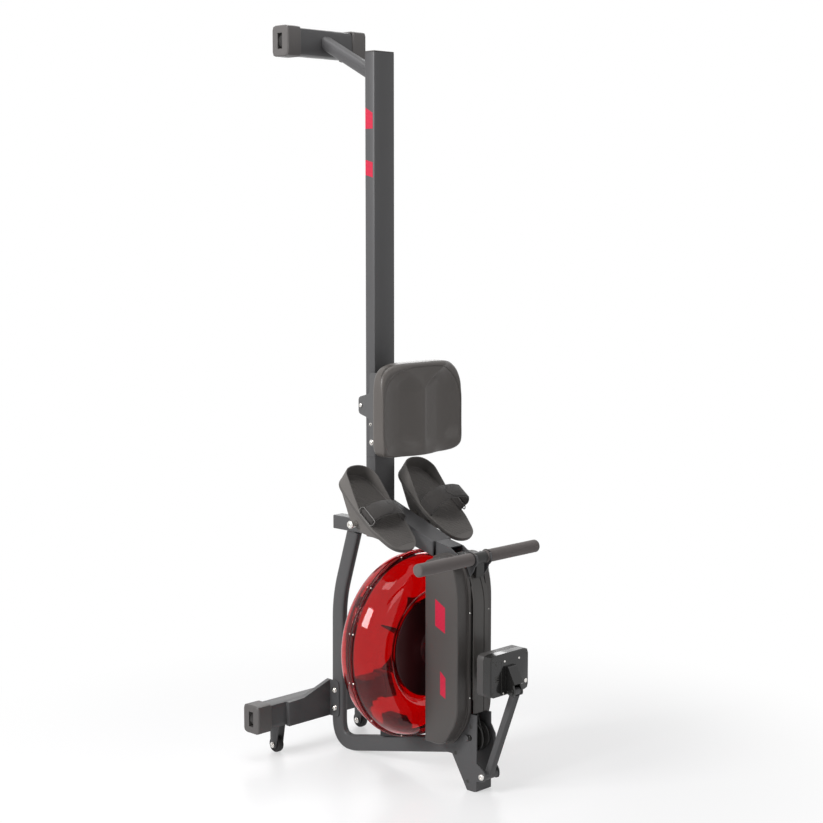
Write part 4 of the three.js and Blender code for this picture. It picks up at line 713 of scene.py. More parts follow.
def woven(name, colour, across, along, rough=0.75, relief=0.5):
    """Crossed threads over the grain, with a little fuzz."""
    material = grained(name, colour, rough, patches=0.12, grains=1800, relief=0.3)
    tree, shader, grain = opened(material)
    threads = new_node(tree, "Group", {
        "Colour": grain["Colour"], "Normal": grain["Normal"], "Across": across, "Along": along,
        "Relief": relief}, node_tree=crossed_threads).outputs
    wired(tree, shader, {"Normal": threads["Normal"], "Base Color": threads["Colour"], "Sheen Weight": 0.25})
    return material


cord_cover = woven("woven_cord_cover", (0.030, 0.029, 0.028), 420, 420)


def cord_line(stops):
    """A smooth line through the stops, in 3D, that doesn't swing out where they lie unevenly."""
    line, steps = [], 3
    for a, b, c, d in fours(stops):
        near, mid, far = (max((q - p).length, 1e-6) ** 0.5 for p, q in ((a, b), (b, c), (c, d)))
        start = ((b - a) / near - (c - a) / (near + mid) + (c - b) / mid) * mid
        end = ((c - b) / mid - (d - b) / (mid + far) + (d - c) / far) * mid
        for t in (k / steps for k in range(steps)):
            line.append(b * (2 * t ** 3 - 3 * t ** 2 + 1) + start * (t ** 3 - 2 * t ** 2 + t)
                        + c * (3 * t ** 2 - 2 * t ** 3) + end * (t ** 3 - t ** 2))
    return line + [Vector(stops[-1])]


cord_curve = bpy.data.curves.new("elastic_cord", "CURVE")
cord_curve.dimensions = "3D"
cord_curve.bevel_depth = cord_diameter / 2
cord_curve.bevel_resolution = 3
cord_curve.use_fill_caps = True
cord_points = cord_line(cord_stops)
cord_spline = cord_curve.splines.new("POLY")
cord_spline.points.add(len(cord_points) - 1)
for point, here in zip(cord_spline.points, cord_points):
    point.co = (*here, 1)
cord_curve.materials.append(cord_cover)
elastic_cord = fit(placed("elastic_cord", cord_curve), "bungee")

# Pull strap: 24 mm woven polyester webbing. It leaves the drum on edge, twists a quarter turn up to
# the outlet roller, and is clamped in the handle, so its free run follows the handle when pulled.
strap_width, strap_thick = 0.024, 0.0016
drum_strap_radius, drum_strap_middle = 0.024, 0.086
outlet_y, outlet_z, outlet_radius = 0.068, 0.612, 0.008
handle_y, handle_z = 0.002, 0.616
strap_web = woven("strap_webbing", (0.034, 0.032, 0.031), 300, 520, rough=0.8)


def strap_band(name, stations):
    """A flat band with rounded selvedges through (place, turn about Z, tilt about X) stations."""
    u, r = strap_width / 2, strap_thick / 2
    selvedge = [(u - r, -r), (u - 0.3 * r, -0.7 * r), (u, 0), (u - 0.3 * r, 0.7 * r), (u - r, r)]
    section = [(r - u, -r)] + selvedge + [(-a, b) for a, b in reversed(selvedge[1:])]
    rings = []
    for here, turn, tilt in stations:
        wide = Vector((math.cos(turn), math.sin(turn), 0))
        thin = Vector((-math.sin(turn) * math.cos(tilt), math.cos(turn) * math.cos(tilt), math.sin(tilt)))
        rings.append([Vector(here) + wide * a + thin * b for a, b in section])
    return lofted(name, strap_web, rings, smooth=50)


strap_leave = drum_strap_radius + strap_thick / 2 + fit_gap
strap_lift = outlet_radius + strap_thick / 2 + fit_gap
rising = []
for t in (k / 40 for k in range(41)):
    ease = t * t * (3 - 2 * t)
    rising.append(((strap_leave * (1 - ease),
                    drum_strap_middle + (outlet_y + strap_lift - drum_strap_middle) * ease,
                    tank_height + (outlet_z - tank_height) * t), (math.pi / 2) * (1 - ease), 0))
strap_rising = fit(strap_band("pull_strap_rising", rising), "strap_inner")

clamp_back, clamp_radius = 0.003, 0.016
strap_end_y, strap_end_z = handle_y + clamp_back + 0.001, handle_z - clamp_radius - 4 * clamp_back
wrap_first = fit_gap / outlet_radius
wrap_last = math.pi / 2 + 0.72 * math.atan2(outlet_z - strap_end_z, outlet_y - strap_end_y)
leaving = []
for k in range(13):
    turn = wrap_first + (wrap_last - wrap_first) * k / 12
    leaving.append(((0, outlet_y + strap_lift * math.cos(turn), outlet_z + strap_lift * math.sin(turn)),
                    0, turn))
roller_end = Vector(leaving[-1][0])
for k in range(1, 37):
    here = roller_end.lerp(Vector((0, strap_end_y, strap_end_z)), k / 36)
    leaving.append((tuple(here), 0, wrap_last))
strap_free = strap_band("pull_strap_free", leaving)
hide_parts("strap_outer")
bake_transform(strap_free)

# Handle: a black-painted steel bar through the strap's clamp, with a closed-cell foam grip pushed on
# from each end. Each grip has a dark rubber collar near the clamp, where the bracket's hooks hold it.
satin_black = grained("satin_black_paint", (0.030, 0.029, 0.028), 0.38, grains=1800, relief=0.15)
broken_edges("handle_bar", satin_black, edge=0.0009, steps=3)


def foam_skin():
    """Ground nitrile foam: a matt brown grey with open pores and faint rings from grinding."""
    material = grained("ground_foam", (0.116, 0.101, 0.097), 0.88, patches=0.10, grains=1500, relief=0.55)
    tree, shader, grain = opened(material)
    place = new_node(tree, "TexCoord").outputs["Object"]
    pores = new_node(tree, "TexVoronoi", {"Vector": place, "Scale": 620}).outputs["Distance"]
    depth = new_node(tree, "MapRange", {"Value": pores, "From Max": 0.55}).outputs["Result"]
    rings = new_node(tree, "TexWave", {"Vector": place, "Scale": 55, "Distortion": 1.5},
                     bands_direction="X").outputs["Fac"]
    total = new_node(tree, "Math", {0: rings, 1: 0.25, 2: depth}, operation="MULTIPLY_ADD").outputs[0]
    bump = new_node(tree, "Bump", {
        "Strength": 0.45, "Distance": 0.0003, "Height": total, "Normal": grain["Normal"]})
    wired(tree, shader, {"Normal": bump.outputs["Normal"], "Sheen Weight": 0.15})
    return material


def quarter_turn(steps):
    """The sine, and how far the cosine falls short of one, in even steps through a right angle."""
    return [(math.sin(math.pi / 2 * k / steps), 1 - math.cos(math.pi / 2 * k / steps))
            for k in range(steps + 1)]


grip_foam = foam_skin()
collar_rubber = grained("collar_rubber", (0.018, 0.017, 0.017), 0.50, grains=2200, relief=0.15)
grip_radius, grip_start, grip_end, grip_bore, bar_end = 0.017, 0.0213, 0.230, 0.0128, 0.2223
grip_edge, grip_round = grip_start + 0.0014, 0.0062
grip_profile = [(0, bar_end), (grip_bore, bar_end), (grip_bore, grip_start)]
grip_profile += [(grip_radius - 0.0012, grip_start), (grip_radius - 0.0003, grip_start + 0.0005),
                 (grip_radius, grip_edge)]
grip_run = grip_end - 0.0075 - grip_start
grip_profile += [(grip_radius - 0.00012 * (k % 2), grip_edge + grip_run * k / 24) for k in range(1, 24)]
grip_profile += [(grip_radius - grip_round * off, grip_end - grip_round + 0.0055 * on)
                 for on, off in quarter_turn(8)]
grip_profile += [(0.0065, grip_end - 0.0001), (0, grip_end)]
collar_radius, collar_middle, collar_half, collar_edge = 0.0190, 0.0306, 0.0012, 0.0006
collar_profile = mirrored([
    (grip_radius - 0.0002, -collar_half), (collar_radius - collar_edge, -collar_half),
    (collar_radius, collar_edge - collar_half)])
for side_name, side in sides:
    grip = turned(f"foam_grip_{side_name}", grip_profile, (0, handle_y, handle_z), (side, 0, 0), grip_foam,
                  smooth=50)
    fit(grip, f"handle_grip_{side_name}")
    collar = turned(f"hook_collar_{side_name}", collar_profile, (side * collar_middle, handle_y, handle_z),
                    (side, 0, 0), collar_rubber, closed=True)
    fixed(collar, "handle")

# Casing: two moulded shells outside the bracket's plates, each with a low rim where it is screwed on.
# Two red blocks are printed on the near face, and the far half has a wide bevel at its front.
casing_plastic = grained("casing_moulding", (0.070, 0.064, 0.061), 0.44, patches=0.05, grains=1500,
                         relief=0.28)
casing_half, casing_front, casing_back = 0.075, -0.001, 0.130
casing_bottom, casing_top, casing_wall, casing_round = 0.112, 0.612, 0.003, 0.005
casing_inner, rim_reach, rim_depth = 0.0292, 0.038, 0.007
bevel_from, bevel_slope = 0.055, 0.886
casing_shares = [
    (0, 0.156, 0.32), (0.435, 0, 0.22), (1, 0, 0.045), (1, 0.992, 0.045), (0.66, 1.028, 0.29),
    (0.16, 1, 0.33), (0, 0.85, 0.29),
]


def casing_ring(x, inset, bevel=0.0):
    """The casing's outline at a distance across, drawn in all round, and further at its front."""
    width = casing_back - casing_front - 2 * inset - bevel
    height = casing_top - casing_bottom - 2 * inset
    corners = [(y * width, z * height, r * width) for y, z, r in casing_shares]
    return [Vector((x, p.x + casing_front + inset + bevel, p.y + casing_bottom + inset))
            for p in eased(corners, closed=True, steps=12)]


def carved(piece, cutter, smooth):
    """Takes the cutter's form out of the piece; the cutter goes."""
    material = piece.data.materials[0]
    cut = piece.modifiers.new("carve", "BOOLEAN")
    cut.object = cutter
    cut.solver = "EXACT"
    bpy.context.view_layer.update()
    seen = piece.evaluated_get(bpy.context.evaluated_depsgraph_get())
    mesh = bpy.data.meshes.new_from_object(seen)
    piece.modifiers.clear()
    piece.data = mesh
    bpy.data.objects.remove(cutter)
    shade(mesh, smooth)
    mesh.materials.clear()
    mesh.materials.append(material)


def casing_side(side, wall):
    """Rings from the bracket outward: the rim, a step in, the body and its rounded face edge."""
    base, outer, corner = rim_depth + wall, casing_half - wall, casing_round - wall
    rim = rim_reach - wall
    stations = [(casing_inner, wall), (rim - 0.0008, wall), (rim, wall + 0.0008), (rim, base - 0.0010),
                (rim + 0.0010, base), (bevel_from, base), (0.062, base)]
    if not wall:
        stations = [(casing_inner, 0.0006), (casing_inner + 0.0006, 0)] + stations[1:]
    stations += [(outer - corner * (1 - on), base + corner * off) for on, off in quarter_turn(8)]
    lean = wall * (math.hypot(1, bevel_slope) - 1)
    rings = []
    for x, inset in stations:
        bevel = bevel_slope * (x - bevel_from) + lean - (inset - base) if x > bevel_from else 0.0
        rings.append(casing_ring(side * x, inset, max(0.0, bevel) if side > 0 else 0.0))
    return rings


hub_hole_radius, hub_hole_from, hub_hole_to, r = 0.050, 0.108, 0.135, 0.0019
casing_screw = [(0, 0), (r, 0), (r, 0.0010), (0.8 * r, 0.0016), (0.45 * r, 0.0017, 6), (0.4 * r, 0.0008, 6),
                (0, 0.0008)]
for side_name, side in sides:
    shell = lofted(f"casing_shell_{side_name}", casing_plastic,
                   list(reversed(casing_side(side, 0.0))) + casing_side(side, casing_wall), smooth=30)
    carved(shell, turned("hub_room", [(hub_hole_radius, hub_hole_from), (hub_hole_radius, hub_hole_to)],
                         (0, 0, tank_height), (0, 1, 0), casing_plastic, steps=64), 30)
    fit(shell, f"casing_{side_name}")
    for row, screw_z in enumerate((0.2510, 0.4765)):
        fixed(turned(f"casing_screw_{side_name}_{row}", casing_screw,
                     (side * (rim_reach - 0.0026), casing_front + 0.0002, screw_z), (0, -1, 0), zinc_plate,
                     steps=20), "base")

stripe("casing_stripe_upper", -casing_half - 0.0001,
       [(0.085, 0.507), (0.085, 0.436), (0.050, 0.420), (0.050, 0.488)])
stripe("casing_stripe_lower", -casing_half - 0.0001,
       [(0.067, 0.318), (0.067, 0.256), (0.048, 0.247), (0.048, 0.302)])

# Centre cover: a satin moulded strip that snaps in between the bracket's plates over the strap and
# drum. Its near edge is well rounded, a narrow slot runs down it, and its top bends back.
cover_satin = grained("cover_moulding", (0.078, 0.073, 0.069), 0.30, patches=0.06, grains=2600, relief=0.12)
cover_half, cover_top_y, cover_top, cover_low = 0.0256, 0.0120, 0.574, 0.208
cover_face, cover_bend, slot_middle, slot_half, slot_deep = -0.007, 0.520, 0.0115, 0.0011, 0.0026
cover_back, cover_skin, cover_edge = 0.0015, -0.0015, 0.0008
cover_flange, flange_low, flange_high = 0.0031, 0.246, 0.546
cover_line = eased([(cover_face, cover_low), (cover_face, cover_bend, 0.060), (cover_top_y, cover_top)],
                   steps=16)
cover_line[1:1] = [Vector((cover_face, z)) for z in (flange_low - 0.002, flange_low)]
slot_wall = [(slot_half + 0.0006, cover_skin), (slot_half, -0.0009), (slot_half, cover_skin + slot_deep)]
cover_section = [(-cover_half, cover_back), (-cover_half, cover_edge)]
cover_section += [(-cover_half + 0.0110 * off, cover_edge - 0.0023 * on) for on, off in quarter_turn(8)[1:]]
cover_section += [(slot_middle - u, v) for u, v in slot_wall]
cover_section += [(slot_middle + u, v) for u, v in reversed(slot_wall)]
cover_section += [(cover_half - 0.0008, cover_skin), (cover_half, -0.0007), (cover_half, cover_back)]
cover_rings = []
for here, left in beside(cover_line):
    wider = cover_flange if flange_low - 0.001 < here.y < flange_high else 0.0
    cover_rings.append([Vector((u + math.copysign(wider, u) * (abs(u) > 0.0140), here.x - left.x * v,
                                here.y - left.y * v)) for u, v in cover_section])
fit(lofted("centre_cover_moulded", cover_satin, cover_rings), "centre_cover")

# Console arm: a rectangular steel tube with an eye at each end. Its lower pin sits in the bracket and
# its upper pin in the console's clevis; both have domed zinc heads.
broken_edges("console_arm", charcoal_powder, edge=0.0012, steps=3)


def headed_pin(name, node, pin, head, thick):
    """A pin across the machine with a domed socket head on both ends."""
    middle, reach = middle_and_reach(node)
    profile = [(0, 0.45 * thick), (0.42 * head, 0.45 * thick, 6), (0.44 * head, 0, 6),
               (0.60 * head, 0.0002), (0.80 * head, 0.16 * thick), (0.95 * head, 0.5 * thick),
               (head, 0.82 * thick), (head, thick), (pin, thick)]
    profile = mirrored([(r, along - reach.x, *corners) for r, along, *corners in profile])
    fit(turned(name, profile, middle, (1, 0, 0), zinc_plate, steps=36), node)


headed_pin("arm_pin_turned", "arm_pin", 0.005, 0.009, 0.005)

# Console: a glossy black back shell with a battery door and four screws, screwed to a grey front
# shell that holds the window and three rubber keys. A moulded clevis on the back carries the arm.
gloss_black = grained("gloss_black_moulding", (0.016, 0.0155, 0.015), 0.17, patches=0.05, grains=3000,
                      relief=0.05)
gloss_black.node_tree.nodes["Principled BSDF"].inputs["Coat Weight"].default_value = 0.3
broken_edges("console_back", gloss_black, edge=0.0009, steps=3)
console_grey = grained("console_grey_moulding", (0.062, 0.059, 0.058), 0.36, grains=2000, relief=0.2)
broken_edges("console_front", console_grey, edge=0.0009, steps=3)
window_glass = grained("window_acrylic", (0.012, 0.013, 0.014), 0.06, patches=0.03, grains=200, relief=0.02)
broken_edges("console_lens", window_glass, edge=0.0004)
for key_number in (1, 2, 3):
    broken_edges(f"console_button_{key_number}", black_rubber, edge=0.0009, steps=3)

console_back_face = -0.108
console_screws = [(-0.021, 0.366, 0.0030), (0.035, 0.365, 0.0030), (-0.025, 0.283, 0.0030),
                  (0.062, 0.300, 0.0056)]
for number, (x, z, r) in enumerate(console_screws):
    profile = [(0, 0), (r, 0), (r, 0.0009), (0.82 * r, 0.0016), (0.46 * r, 0.0018, 6),
               (0.42 * r, 0.0008, 6), (0, 0.0008)]
    fixed(turned(f"console_screw_{number}", profile, (x, console_back_face + 0.0003, z), (0, -1, 0),
                 zinc_plate, steps=24), "console")


def thin_plate(name, place, way, wide, high, corner, sunk, material):
    """A small flat piece on the console that looks along Y, with a fine bevel round its face."""
    x, y, z = place
    rings = [[Vector((x + p.x, y + way * out, z + p.y))
              for p in rounded_box_ring(wide - 2 * inset, high - 2 * inset, corner, 3)]
             for inset, out in ((0, -sunk), (0, 0.0002), (0.0003, 0.0004))]
    fixed(lofted(name, material, rings), "console")


# Holes, slots and the battery door's seams on the back shell, as thin dark plates: in the holes and slots the
# dark colour is painted shade, the seams are dark joints.
console_recesses = [
    (-0.064, 0.371, 0.0042, 0.0042), (-0.054, 0.362, 0.0064, 0.0060), (0.0665, 0.371, 0.0040, 0.0040),
    (-0.066, 0.289, 0.0044, 0.0044), (0.0665, 0.289, 0.0040, 0.0040), (-0.033, 0.324, 0.0009, 0.090),
    (-0.048, 0.369, 0.0290, 0.0009), (-0.050, 0.330, 0.0150, 0.0026), (-0.050, 0.324, 0.0150, 0.0026),
    (-0.050, 0.318, 0.0150, 0.0026)]
for number, (x, z, wide, high) in enumerate(console_recesses):
    thin_plate(f"console_recess_{number}", (x, console_back_face, z), -1, wide, high, min(wide, high) / 4,
               0.0003, painted_recess_shade)

# Liquid-crystal panel: a thin plate on the window's face that stands for the display behind it. It is
# off, and shows as a paler green grey.
panel_glass = grained("liquid_crystal_panel", (0.145, 0.165, 0.140), 0.20, patches=0.04, grains=900,
                      relief=0.03)
lens_middle, lens_reach = middle_and_reach("console_lens")
thin_plate("liquid_crystal_panel", lens_middle + Vector((0, lens_reach.y, 0)), 1, 2 * lens_reach.x - 0.020,
           2 * lens_reach.z - 0.014, 0.002, 0.0004, panel_glass)

# Seat cushion: moulded foam under its own tough skin, with two hollows, a ridge between them and a
# V-shaped relief at the tail end. It is screwed to a black moulded pan over the carriage.
seat_half, seat_length, seat_middle, seat_face, seat_base = 0.150, 0.250, 0.991, 0.193, 0.2437
outline_taper, tail_drop, outline_points = 0.022, 0.018, 216
moulded_skin = grained("moulded_seat_skin", (0.092, 0.083, 0.077), 0.36, patches=0.07, grains=760,
                       relief=0.35)


def smooth_step(value, low, high):
    t = min(max((value - low) / (high - low), 0.0), 1.0)
    return t * t * (3 - 2 * t)


def seat_surface(u, v):
    """Depth of the seat's face behind its foremost plane, for shares of half width and length."""
    spread = 0.62 * smooth_step(v, 0.38, 1.12) + 0.10 * max(v - 0.44, 0)
    reach = max(0.97 - spread, 0.2)
    off = abs(u) - spread
    soft = 0.035 - 0.025 * smooth_step(v, 0.3, 0.5) if u > 0 else 0.080
    share = min((math.sqrt(off * off + soft * soft) - soft) / reach, 1)
    deep = 0.0215 * (1 - 0.50 * smooth_step(v, 0.30, 1.0))
    if off <= 0:
        hollows = 0.0030 * min(-off / 0.3, 1)
    elif share < 0.45:
        hollows = deep * (1 - (1 - share / 0.45) ** 1.5)
    else:
        hollows = deep * (1 - ((share - 0.45) / 0.55) ** 2.4)
    knee = 0.70 + 1.1 * (abs(u) - 0.70) ** 2
    crescent = 0.0210 * smooth_step(-v, knee, knee + 0.36)
    return 0.0020 + hollows * (1 - 0.35 * smooth_step(-v, 0.50, 1.0)) + crescent


def seat_outline(tail_power, nose_power):
    """Evenly spaced points round a rounded square that narrows to its tail."""
    fine = []
    for turn in (2 * math.pi * i / 7200 for i in range(7200)):
        c, s = math.cos(turn), math.sin(turn)
        power = tail_power if s > 0 else nose_power
        u = math.copysign(abs(c) ** power, c) * (1.015 - outline_taper * (s + 1))
        v = math.copysign(abs(s) ** power, s) - tail_drop * max(s, 0)
        fine.append(Vector((u * seat_half, v * seat_length / 2)))
    lengths = [0.0]
    for a, b in zip(fine, fine[1:] + fine[:1]):
        lengths.append(lengths[-1] + (b - a).length)
    spots, k = [], 0
    for i in range(outline_points):
        goal = lengths[-1] * i / outline_points
        while lengths[k + 1] < goal:
            k += 1
        share = (goal - lengths[k]) / max(lengths[k + 1] - lengths[k], 1e-9)
        spots.append(fine[k].lerp(fine[(k + 1) % len(fine)], share))
    return spots


outer_edge, face_edge = seat_outline(0.40, 0.24), seat_outline(0.60, 0.34)
seat_groove = 0.0016


def roll_start(v):
    """Where the face's edge begins to roll over, as a share of the outline: earlier at the tail."""
    return 0.972 - 0.062 * smooth_step(v, 0.10, 0.95)


def face_depth(u, v, inward=0):
    """The face's depth `inward` rings from the roll: the tail's and nose's edges keep half the hollow."""
    kept = max(smooth_step(inward, 0, 10), 1 - smooth_step(abs(v), 0.4, 0.9))
    return seat_face + (0.5 + 0.5 * kept) * seat_surface(u, v)


def rolled(u, v, turn):
    """The depth of the edge that rolls back from the face, deeper at the tail."""
    return face_depth(u, v) + (0.0070 + 0.0130 * smooth_step(v, 0.10, 0.95)) * turn


def seat_ring(size, outward, inward, depth_at):
    """A ring of the cushion between the face's outline (outward 0) and the outer one (outward 1)."""
    ring = []
    for inside, outside in zip(face_edge, outer_edge):
        start = roll_start(outside.y / (seat_length / 2))
        x, z = inside.lerp(outside, outward) * size * (start + (1 - start) * outward - inward)
        ring.append(Vector((x, depth_at(x / seat_half, z / (seat_length / 2)), seat_middle + z)))
    return ring


seat_rings = [seat_ring(size, 1, 0, lambda u, v: seat_base - drop) for size, drop in (
    (0.885, 0), (0.940, 0), (0.968, 0.0006), (0.986, 0.0032), (0.996, 0.0075), (1, 0.0115), (1, 0.0287))]
seat_rings += [seat_ring(1, out, 0, lambda u, v: rolled(u, v, turn))
               for out, turn in reversed(quarter_turn(12))]
seat_rings += [seat_ring(1, 0, inward, lambda u, v: face_depth(u, v) + cut * seat_groove
                         * smooth_step(v, -0.95, -0.55))
               for inward, cut in ((0.003, 0.4), (0.0065, 1), (0.012, 1), (0.019, 0.5))]
seat_rings += [seat_ring(1 - k / 34, 0, 0.024, lambda u, v: face_depth(u, v, k)) for k in range(1, 34)]
seat_rings.append([Vector((0, seat_face + seat_surface(0, 0), seat_middle))] * outline_points)
seat_piece = fit(lofted("moulded_seat", moulded_skin, seat_rings, smooth=50), "seat_cushion")
broken_edges("seat_pan", nylon_black, edge=0.0014, steps=3)

# Seat carriage: a folded steel channel under the pan, painted satin black. Two rollers run on the
# rail's front and a small one behind it, on zinc pins whose heads show on the channel's sides.
carriage_paint = grained("carriage_paint", (0.098, 0.097, 0.098), 0.42, patches=0.05, grains=2000,
                         relief=0.2)
broken_edges("seat_carriage", carriage_paint, edge=0.0007)
for side_name, side in sides:
    for height, y, z, r in (("low", 0.3485, 0.8895, 0.0058), ("high", 0.3515, 0.938, 0.0032)):
        button_bolt(f"carriage_bolt_{side_name}_{height}", (side * 0.047, y, z), (side, 0, 0), "seat",
                    radius=r)
tyre_white = grained("roller_nylon", (0.42, 0.41, 0.39), 0.45, grains=2400, relief=0.12)
tyre_half, tyre_groove = 0.031, 0.0298
seat_rollers = (("upper", 0.005, 0.008), ("lower", 0.005, 0.008), ("back", 0.003, 0.006))
for roller_name, pin_radius, head_radius in seat_rollers:
    node = f"seat_roller_{roller_name}"
    middle, reach = middle_and_reach(node)
    headed_pin(f"{node}_pin", node, pin_radius, head_radius, 0.004)
    tyre_profile = mirrored([
        (pin_radius + 0.0002, -tyre_half), (0.55 * reach.z, -tyre_half), (0.62 * reach.z, -tyre_groove),
        (0.80 * reach.z, -tyre_groove), (0.86 * reach.z, -tyre_half), (reach.z - 0.0012, -tyre_half),
        (reach.z, -tyre_groove)])
    fixed(turned(f"{node}_tyre", tyre_profile, middle, (1, 0, 0), tyre_white, closed=True),
          frame["nodes"][node]["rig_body"])

# Foot axle: a zinc-plated steel rod through the neck that both foot plates turn on. The domed heads at
# its ends keep the plates on it.
headed_pin("foot_axle_turned", "foot_axle", 0.008, 0.0105, 0.006)

# Foot plates: black moulded soles with a heel cup and a keel that sits on the axle. The sole has fine
# cross ribs for grip, the cup a thin rounded rim, and two shallow grooves run round the edge, drawn as
# dark strips of painted shade.
sole_plastic = grained("foot_plate_moulding", (0.118, 0.110, 0.104), 0.60, grains=1300, relief=0.32)
foot_slope, foot_reach, axle_along, axle_under = math.radians(37.5), 0.112, 0.149, 0.0436
axle_y, axle_z, foot_length, foot_width, sole_thick = 0.290, 0.690, 0.283, 0.134, 0.012
cup_wall, cup_inset, cup_rise, cup_full, cup_edge = 0.0035, 0.0006, 0.140, 0.238, 0.0046
sole_shares = [
    (-0.49, 0.3, 0.18), (-0.3, 0, 0.45), (0.3, 0, 0.45), (0.49, 0.3, 0.18),
    (0.48, 0.6, 0.3), (0.37, 1, 0.37), (-0.37, 1, 0.37), (-0.48, 0.6, 0.3),
]
foot_along = Vector((0, math.cos(foot_slope), math.sin(foot_slope)))
foot_out = Vector((0, -math.sin(foot_slope), math.cos(foot_slope)))


def sole_ring(inset):
    """The sole's outline (across, along), drawn in all round."""
    width, length = foot_width - 2 * inset, foot_length - 2 * inset
    return eased([(u * width, v * length + inset, r * width) for u, v, r in sole_shares], True, 10)


sole_line = sole_ring(0)


def foot_point(side, across, along, out):
    """From the sole's own frame to the machine's."""
    toe = Vector((side * foot_reach, axle_y, axle_z)) - axle_along * foot_along + axle_under * foot_out
    return toe + Vector((across, 0, 0)) + along * foot_along + out * foot_out


def sole_span(along):
    """How wide the sole is, inside the heel cup, at a distance from the toe."""
    reach = 0.0
    for a, b in zip(sole_line, sole_line[1:] + sole_line[:1]):
        if min(a.y, b.y) <= along <= max(a.y, b.y) and a.y != b.y:
            reach = max(reach, abs(a.x + (b.x - a.x) * (along - a.y) / (b.y - a.y)))
    return max(reach - cup_edge, 0.0)


def cup_rim(along):
    """How high the heel cup's wall stands at a distance from the toe."""
    rise = (along - cup_rise) / (cup_full - cup_rise)
    late = (along - cup_full) / (foot_length - cup_full)
    return 0.033 * min(max(rise, 0), 1) + 0.003 * min(max(late, 0), 1)


cup_inside = cup_inset + cup_wall
sole_levels = [(0.012, -sole_thick), (0.0016, -sole_thick), (0.0004, 0.0010 - sole_thick),
               (0, 0.0022 - sole_thick), (0, -0.0008), (0.0003, 0)]
cup_levels = [(cup_inset, 1), (cup_inset + 0.0008, 1.022), (cup_inside - 0.0008, 1.022), (cup_inside, 1)]
keel_front, keel_back = (0.040, -0.006), (0.262, -0.006)
keel_half, keel_low, keel_edge, keel_bore = 0.050, -0.0566, 0.005, 0.0085
keel_line = eased([(*keel_front, 0.010), (0.128, keel_low, 0.030), (0.170, keel_low, 0.030),
                   (*keel_back, 0.010)], closed=True, steps=12)
keel_steps = [(keel_half, keel_edge), (keel_half - 0.0015, 0.0015), (keel_half - keel_edge, 0)]
keel_steps = [(-across, inset) for across, inset in keel_steps] + list(reversed(keel_steps))
rib_pitch, rib_half, rib_rise = 0.0052, 0.0007, 0.0007
rib_section = [(-rib_half, -0.0004), (rib_half, -0.0004), (0.5 * rib_half, rib_rise),
               (-0.5 * rib_half, rib_rise)]
edge_section = [(-0.0006, -0.0006), (0.00025, -0.0006), (0.00025, 0.0006), (-0.0006, 0.0006)]
slot_along, slot_across, slot_reach, slot_wide = 0.122, 0.059, 0.0274, 0.0017
slot_section = [(-slot_wide, -slot_reach), (slot_wide, -slot_reach), (slot_wide, slot_reach),
                (-slot_wide, slot_reach)]


def rib_rings(side, along):
    """One cross rib of the sole, bowed a little, or nothing where the sole is too narrow for one."""
    span = min(sole_span(along - rib_half), sole_span(along + rib_half)) - 0.002
    if span < 0.01 or not 0.014 < along < foot_length - 0.012:
        return []
    rings = []
    for across in (span * (2 * i / 12 - 1) for i in range(13)):
        lean = 0.10 * across - 0.9 * across ** 2
        rings.append([foot_point(side, across, along + lean + a, out) for a, out in rib_section])
    return [rings]


for side_name, side in sides:
    foot_body, foot_slot = f"foot_{side_name}", slot_of[f"foot_plate_{side_name}"]
    plate_rings = [[foot_point(side, *p, out) for p in sole_ring(inset)] for inset, out in sole_levels]
    plate_rings += [[foot_point(side, *p, lift * cup_rim(p.y)) for p in sole_ring(inset)]
                    for inset, lift in cup_levels]
    plate_rings.append([foot_point(side, *p, 0.0015 * min(1, cup_rim(p.y) / 0.004))
                        for p in sole_ring(cup_inside)])
    plate_rings.append([foot_point(side, *p, 0) for p in sole_ring(cup_inside + 0.0018)])
    plate = lofted(f"foot_plate_{side_name}_finished", sole_plastic, plate_rings, smooth=40)
    keel_rings = []
    for across, inset in keel_steps:
        spots = [here + left * inset for here, left in beside(keel_line, closed=True)]
        keel_rings.append([foot_point(side, across, spot.x, min(spot.y, -0.0065)) for spot in spots])
    keel = lofted(f"foot_keel_{side_name}", sole_plastic, keel_rings, smooth=40)
    carved(keel, turned("keel_bore", [(keel_bore, -0.08), (keel_bore, 0.08)],
                        (side * foot_reach, axle_y, axle_z), (1, 0, 0), sole_plastic, steps=32), 40)
    fixed(keel, foot_body)
    for edge in (-1, 1):
        slot_rings = [[foot_point(side, edge * slot_across + dx, slot_along + along, out)
                       for dx, along in slot_section] for out in (-0.03, 0.01)]
        carved(plate, lofted("strap_slot", sole_plastic, slot_rings), 40)
    fit(plate, f"foot_plate_{side_name}")
    ribs = [rings for k in range(4, 52) for rings in rib_rings(side, rib_pitch * k)]
    fixed(lofted(f"sole_ribs_{side_name}", sole_plastic, *ribs), foot_body)
    # Two dark strips round the sole's edge: painted shade that stands for its two shallow grooves.
    edge_lines = [[[foot_point(side, here.x - left.x * o, here.y - left.y * o, d - depth)
                    for o, d in edge_section] for here, left in beside(sole_line, closed=True)]
                  for depth in (0.0040, 0.0078)]
    fixed(lofted(f"sole_edge_lines_{side_name}", painted_recess_shade, *edge_lines, closed=True), foot_body)

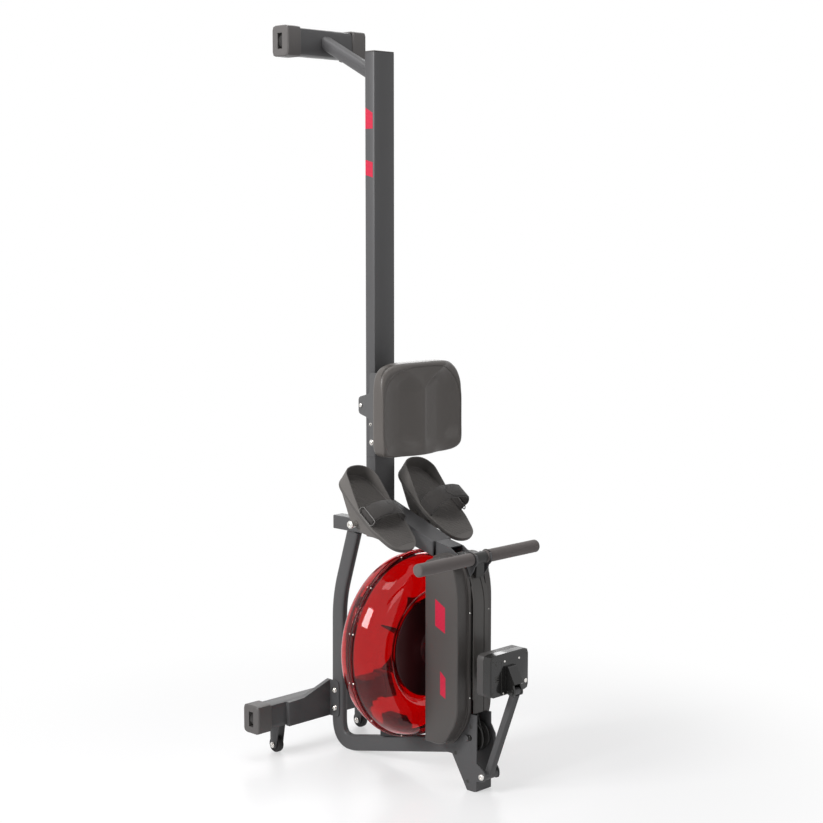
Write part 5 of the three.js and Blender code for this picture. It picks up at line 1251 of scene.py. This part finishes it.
# Foot straps: 50 mm nylon webbing from slot to slot over the instep, closed with hook and loop. The
# free end doubles back over the outer side, through a wire loop, and ends in a point.
foot_web = woven("foot_strap_webbing", (0.040, 0.036, 0.034), 260, 420, rough=0.82, relief=0.6)
loop_wire = grained("black_wire", (0.085, 0.082, 0.080), 0.34, grains=2600, relief=0.08, metallic=0.6)
instep_width, instep_thick, instep_reach = 0.050, 0.0024, 0.059
flap_width, flap_thick, flap_point = 0.044, 0.0018, 0.016
taut_shares = [(-1, -0.4), (-1, 0.1), (-0.93, 0.55), (-0.5, 0.93), (0, 1), (0.5, 0.93), (0.93, 0.55),
               (1, 0.1), (1, -0.4)]
loose_shares = [(-1, -0.4), (-1, 0.1), (-0.93, 0.55), (-0.5, 0.93), (0, 1), (0.55, 0.97), (1.02, 0.80),
                (1.20, 0.46), (1.05, 0.14), (1, -0.4)]
instep_arches = {"near": (0.036, taut_shares), "far": (0.058, loose_shares)}
band_section = [(-1, -0.5), (-0.97, -1), (0, -1), (0.97, -1), (1, -0.5), (1, 0.5), (0.97, 1), (0, 1),
                (-0.97, 1), (-1, 0.5)]


def instep_band(name, side, line, width, thick, lift, point=0.0):
    """A band over the instep along (across, out) points, with its end cut to a point if asked."""
    rings = []
    for here, up in beside(line):
        share = min(1.0, 0.15 + 0.85 * (line[-1] - here).length / point) if point else 1.0
        spots = [(here + up * lift + up * (w * thick / 2), v * width * share / 2) for v, w in band_section]
        rings.append([foot_point(side, spot.x, slot_along + along, spot.y) for spot, along in spots])
    return lofted(name, foot_web, rings, smooth=50)


loop_half, loop_wide, loop_round, wire, wire_sides = 0.0300, 0.0085, 0.008, 0.0015, 10
loop_line = rounded_box_ring(2 * loop_half, 2 * loop_wide, loop_round, 8)
wire_turns = [2 * math.pi * n / wire_sides for n in range(wire_sides)]
for side_name, side in sides:
    crest, shares = instep_arches[side_name]
    arch = curve_through([(x * instep_reach, rise * crest) for x, rise in shares], 8)
    strap = instep_band(f"instep_strap_{side_name}", side, arch, instep_width, instep_thick, 0)
    fit(strap, f"foot_strap_{side_name}")
    flap_line = [p for p in arch if p.y > 0.18 * crest and -0.30 * instep_reach < side * p.x][::-side]
    flap_lift = -side * (instep_thick / 2 + flap_thick / 2 + 0.0003)
    flap = instep_band(f"instep_flap_{side_name}", side, flap_line, flap_width, flap_thick, flap_lift,
                       flap_point)
    fixed(flap, f"foot_{side_name}")
    loop_rings = []
    for here, left in beside(loop_line, closed=True):
        reach = instep_reach + 0.0050 - 0.45 * here.y
        loop_rings.append([foot_point(side, side * (reach + wire * math.sin(a)),
                                      slot_along + here.x - left.x * wire * math.cos(a),
                                      0.0125 + here.y - left.y * wire * math.cos(a)) for a in wire_turns])
    fixed(lofted(f"strap_loop_{side_name}", loop_wire, loop_rings, closed=True, smooth=60),
          f"foot_{side_name}")
